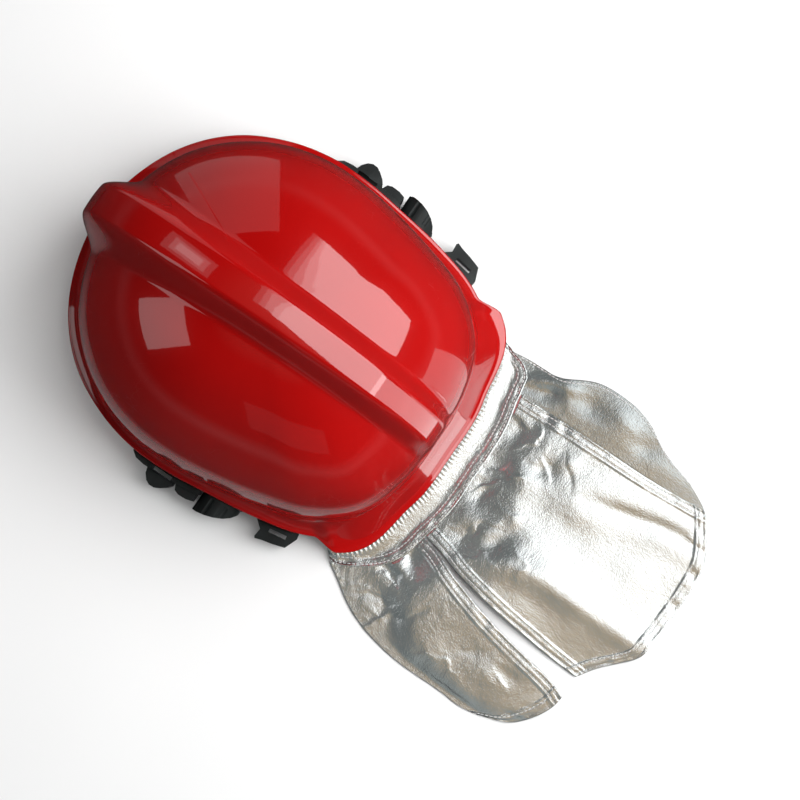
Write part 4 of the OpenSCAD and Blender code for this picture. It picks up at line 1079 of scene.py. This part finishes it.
def make_straps():
    # crown straps, each up from a hook or an anchor, over the crown and down to the one across
    def hook_foot(b):
        p = band_point(b, -BAND_T - 2)
        return np.array([p[0], p[1], 60.3])

    def anchor_foot(s):
        return np.array([s * 100 * math.sin(math.radians(150)), -100 * math.cos(math.radians(150)), 62.0])
    for name, node_name, p0, p1, top in (("crown_tape_cross", "crown_strap_cross", hook_foot(76), hook_foot(-76), 118), ("crown_tape_a", "crown_strap_diagonal_a", hook_foot(36), anchor_foot(-1), 120),
                                         ("crown_tape_b", "crown_strap_diagonal_b", hook_foot(-36), anchor_foot(1), 122)):
        c = np.array([0, 6, float(top)])
        a = np.radians(np.linspace(0, 90, 46))[:, None]

        def arc(p, a):
            return np.concatenate([p[:2] + (c[:2] - p[:2]) * (1 - np.cos(a)), p[2] + (c[2] - p[2]) * np.sin(a) ** 0.85], 1)
        path = np.concatenate([arc(p0, a), arc(p1, a[::-1])[1:]])
        d = p1 - p0
        d[2] = 0
        d /= np.linalg.norm(d)
        wide = np.tile([-d[1], d[0], 0], (len(path), 1))
        P, F, mids, s = strip(path, wide, 20, 1.2)
        strap_object(name, node_name, [(P, F)], "tape")
        sign = 1 if mids["mid"][len(path) // 2, 5] > 0 else -1
        rows = both_faces(box_stitch(mids, s, 4, 18) + box_stitch(mids, s, s[-1] - 18, s[-1] - 4), 1.2)
        sew(name + "_stitches", rows, pitch=3.0, length=2.2, r=0.22)
    # chin straps: a front leg from the pivot, a rear leg from its rivet, both down to the slider
    front = [(90, 39.5, 22), (90, 39.5, 17), (90, 39.5, 13), (88.8, 38.5, 7), (85, 36.6, 4), (80, 33.6, 3.4), (74, 29.2, 3.4), (71, 28.1, 3.4), (67.6, 28, 3.4)]
    rear = [(97.6, 65.4, 24), (97.5, 65.4, 17), (97.4, 65.3, 12), (96, 63, 5), (92.6, 57.2, 2), (87, 46, 1.5), (81.3, 36, 1.5), (77.7, 31.2, 1.5), (72.9, 28.15, 1.5), (67.6, 28, 1.5)]
    rear_w = [(-0.33, 0.94, 0), (-0.33, 0.94, 0), (-0.33, 0.94, 0), (-0.33, 0.94, 0), (-0.8, 0.6, 0), (-0.87, 0.5, 0), (-0.8, 0.6, 0), (-0.6, 0.8, 0), (-0.2, 1, 0), (0, 1, 0)]
    for side, k in (("left", 1), ("right", -1)):
        mirror = np.array([k, 1, 1, k, 1, 1])
        parts, rows = [], []
        for pts, wide in ((front, None), (rear, rear_w)):
            path = linear(pts, 64)
            w = np.tile([0.0, 1, 0], (64, 1)) if wide is None else linear(wide, 64, pts)
            P, F, mids, s = strip(path, w, 18, 1.6)
            parts.append((P * mirror[:3], F))
            lines = both_faces(box_stitch(mids, s, 11.5, 20.5), 1.6)
            rows += [x * mirror for x in lines]
        strap_object("chin_webbing_" + side, "chin_strap_" + side, parts, "webbing")
        sew("chin_webbing_" + side + "_stitches", rows, pitch=2.6, length=1.9, r=0.2, mat="webbing_thread")
    parts, rows = [], []
    for x0, x1 in ((-52.8, 15.2), (42.5, 52.7)):
        path = np.stack([np.linspace(x0, x1, 40), np.full(40, 28.0), np.full(40, 1.6)], -1)
        P, F, mids, s = strip(path, np.tile([0.0, 1, 0], (40, 1)), 18, 1.6)
        parts.append((P, F))
        if x1 - x0 > 30:
            rows += both_faces(box_stitch(mids, s, s[-1] - 12, s[-1] - 4), 1.6)
    strap_object("chin_webbing_lower", "chin_strap_lower", parts, "webbing")
    sew("chin_webbing_lower_stitches", rows, pitch=2.6, length=1.9, r=0.2, mat="webbing_thread")


def linear(points, n, along=None):
    """Points spaced evenly along a rounded polyline, with their spacing taken from another one where given."""
    p = np.asarray(points, float)
    base = p if along is None else np.asarray(along, float)
    s = np.concatenate([[0], np.cumsum(np.linalg.norm(np.diff(base, axis=0), axis=1))])
    at = np.linspace(0, s[-1], n)
    out = np.stack([np.interp(at, s, p[:, k]) for k in range(p.shape[1])], -1)
    for _ in range(6):
        out[1:-1] = 0.25 * out[:-2] + 0.5 * out[1:-1] + 0.25 * out[2:]
    return out


pads = make_pads()
make_straps()


# ------------------------------------------------------------------ floor and light
def make_stage():
    s = 6.0
    me = bpy.data.meshes.new("floor")
    me.from_pydata([(-s, -s, -0.0002), (s, -s, -0.0002), (s, s, -0.0002), (-s, s, -0.0002)], [], [(0, 1, 2, 3)])
    o = bpy.data.objects.new("floor", me)
    scene.collection.objects.link(o)
    m, nt, sh, co = new_material("pale_floor")
    nt.links.new(ramp(nt, noise(nt, co, 3, 2), [(0.3, (0.76, 0.763, 0.763)), (0.7, (0.79, 0.793, 0.793))]), sh.inputs["Base Color"])
    sh.inputs["Roughness"].default_value = 0.9
    sh.inputs["Specular IOR Level"].default_value = 0.1
    me.materials.append(m)
    o.visible_glossy = False  # gloss sees the dark studio instead of the bright floor, as with black flags
    return o


floor = make_stage()


# Light: one large softbox over the right and the rear, a small window and a strip in front, a dim panel on the front right
def mixed(nt, kind, a, b):
    mx = nt.nodes.new("ShaderNodeMix")
    mx.data_type, mx.blend_type = "RGBA", kind
    mx.inputs[0].default_value = 1.0
    nt.links.new(a, mx.inputs[6])
    nt.links.new(b, mx.inputs[7])
    return mx.outputs[2]


def make_world():
    w = bpy.data.worlds.new("studio")
    w.use_nodes = True
    nt = w.node_tree
    bg = nt.nodes["Background"]
    xyz = node(nt, "ShaderNodeSeparateXYZ", {"Vector": nt.nodes.new("ShaderNodeTexCoord").outputs["Generated"]})
    level = math_node(nt, "ADD", math_node(nt, "MULTIPLY", xyz.outputs["Z"], 0.5), 0.5)
    up = ramp(nt, level, [(0.0, (0.03, 0.03, 0.03)), (0.45, (0.035, 0.04, 0.04)), (0.52, (0.14, 0.155, 0.155)), (0.60, (0.035, 0.04, 0.04)), (0.94, (0.025, 0.025, 0.025)), (0.985, (0.14, 0.12, 0.10))])
    low = ramp(nt, level, [(0.0, (0.27, 0.26, 0.26)), (0.11, (0.24, 0.24, 0.24)), (0.15, (0.0, 0.0, 0.0))])
    side = ramp(nt, math_node(nt, "ADD", math_node(nt, "MULTIPLY", xyz.outputs["X"], 0.5), 0.5), [(0.53, (0.08, 0.08, 0.08)), (0.63, (1.0, 1.0, 1.0))])
    up = mixed(nt, "ADD", up, mixed(nt, "MULTIPLY", low, side))
    front = ramp(nt, math_node(nt, "ADD", math_node(nt, "MULTIPLY", xyz.outputs["Y"], 0.5), 0.5), [(0.30, (0.45, 0.45, 0.46)), (0.56, (1.0, 1.0, 1.0))])
    nt.links.new(mixed(nt, "MULTIPLY", up, front), bg.inputs["Color"])
    bg.inputs["Strength"].default_value = 1.0
    scene.world = w


make_world()
scene.view_settings.view_transform = "Standard"
scene.view_settings.look = "None"


def panel_light(name, centre, normal, up, size, radiance, colour=(1, 1, 1)):
    """A rectangular light by its radiance: centre, the way it faces, and the direction of its height."""
    n, u = Vector(normal).normalized(), Vector(up)
    u = (u - u.dot(n) * n).normalized()
    r = u.cross(n)
    d = bpy.data.lights.new(name, "AREA")
    d.shape, d.size, d.size_y = "RECTANGLE", size[0], size[1]
    d.energy = radiance * math.pi * size[0] * size[1]
    d.color = colour
    o = bpy.data.objects.new(name, d)
    scene.collection.objects.link(o)
    o.matrix_world = Matrix(((r.x, u.x, -n.x, centre[0]), (r.y, u.y, -n.y, centre[1]), (r.z, u.z, -n.z, centre[2]), (0, 0, 0, 1)))
    return o


def toward(az, el, dist, base=(0, 0, 0.1)):
    a, e = math.radians(az), math.radians(el)
    return Vector(base) + dist * Vector((math.sin(a) * math.cos(e), -math.cos(a) * math.cos(e), math.sin(e)))


def only_on(light, pieces):
    group = bpy.data.collections.new(light.name + "_onto")
    for o in pieces:
        group.objects.link(o)
    light.light_linking.receiver_collection = group
    return group


soft = panel_light("softbox_over", (-1.02, 2.45, 1.30), (0, 0, -1), (0, 1, 0), (1.98, 5.0), 5.0)
soft.visible_glossy = False
soft.data.cycles.use_multiple_importance_sampling = False
gloss = panel_light("softbox_gloss", (-1.02, 0.925, 1.22), (0, 0, -1), (0, 1, 0), (1.98, 1.95), 2.9)
gloss.visible_diffuse = False
edge_strips = [panel_light("softbox_edge_%d" % k, (-1.02, y, 1.22), (0, 0, -1), (0, 1, 0), (1.98, 0.05), e) for k, (y, e) in enumerate(((-0.075, 2.2), (-0.125, 1.4), (-0.175, 0.8), (-0.225, 0.35)))]
for strip_light in edge_strips:
    strip_light.visible_diffuse = False
panel_light("wall_behind", (-0.56, 1.6, -1.52), (0, -1, 0), (0, 0, 1), (0.50, 3.40), 0.75).visible_diffuse = False
panel_light("wall_crest", (-0.175, 1.6, -0.1), (0, -1, 0), (0, 0, 1), (0.25, 2.6), 1.9).visible_diffuse = False
for name, az, el, dist, size, radiance in (("window_left", 36, 31, 1.2, (0.52, 0.60), 0.85), ("strip_front_a", -5, 47, 1.15, (0.09, 0.26), 0.65),
                                           ("strip_front_b", -5, 47, 1.17, (0.15, 0.38), 0.45), ("strip_front_c", -5, 47, 1.19, (0.22, 0.52), 0.30),
                                           ("wall_front_right", -42, 8, 1.5, (1.05, 2.0), 0.24), ("wall_rear_left", 118, 30, 1.5, (1.1, 0.5), 0.07)):
    c = toward(az, el, dist)
    panel_light(name, c, Vector((0, 0, 0.1)) - c, (0, 0, 1), size, radiance)
fill = panel_light("floor_fill", (0.0, 0.1, 1.7), (0, 0, -1), (0, 1, 0), (4.0, 4.0), 0.55)
fill.visible_glossy = False
only_on(fill, [floor])
# the parts of the ceiling that only the mirror-like cloth shows
sheets = [v[0] for v in cape.values()]
for light in [gloss] + edge_strips:
    for entry in only_on(light, sheets).collection_objects:
        entry.light_linking.link_state = "EXCLUDE"
right_sheet, other_sheets = [cape["right"][0]], [cape[k][0] for k in ("collar", "middle", "left")]
for name, x0, x1, y0, y1, radiance, colour, onto in (("ceiling_brown", -0.03, 0.52, 0.19, 1.7, 0.50, (1.0, 0.74, 0.44), sheets),
                                                     ("ceiling_green", 0.52, 2.6, 0.19, 2.0, 0.36, (0.92, 1.0, 0.97), sheets),
                                                     ("ceiling_dark", -2.0, 2.6, -1.6, 0.19, 0.18, (0.90, 1.0, 0.99), sheets),
                                                     ("ceiling_white", -2.01, -0.03, 0.19, 4.95, 2.3, (0.98, 1.0, 1.0), other_sheets),
                                                     ("ceiling_pale", -2.01, -0.03, 0.19, 4.95, 1.3, (0.93, 0.99, 1.0), right_sheet)):
    only_on(panel_light(name, ((x0 + x1) / 2, (y0 + y1) / 2, 1.23), (0, 0, -1), (0, 1, 0), (x1 - x0, y1 - y0), radiance, colour), onto)
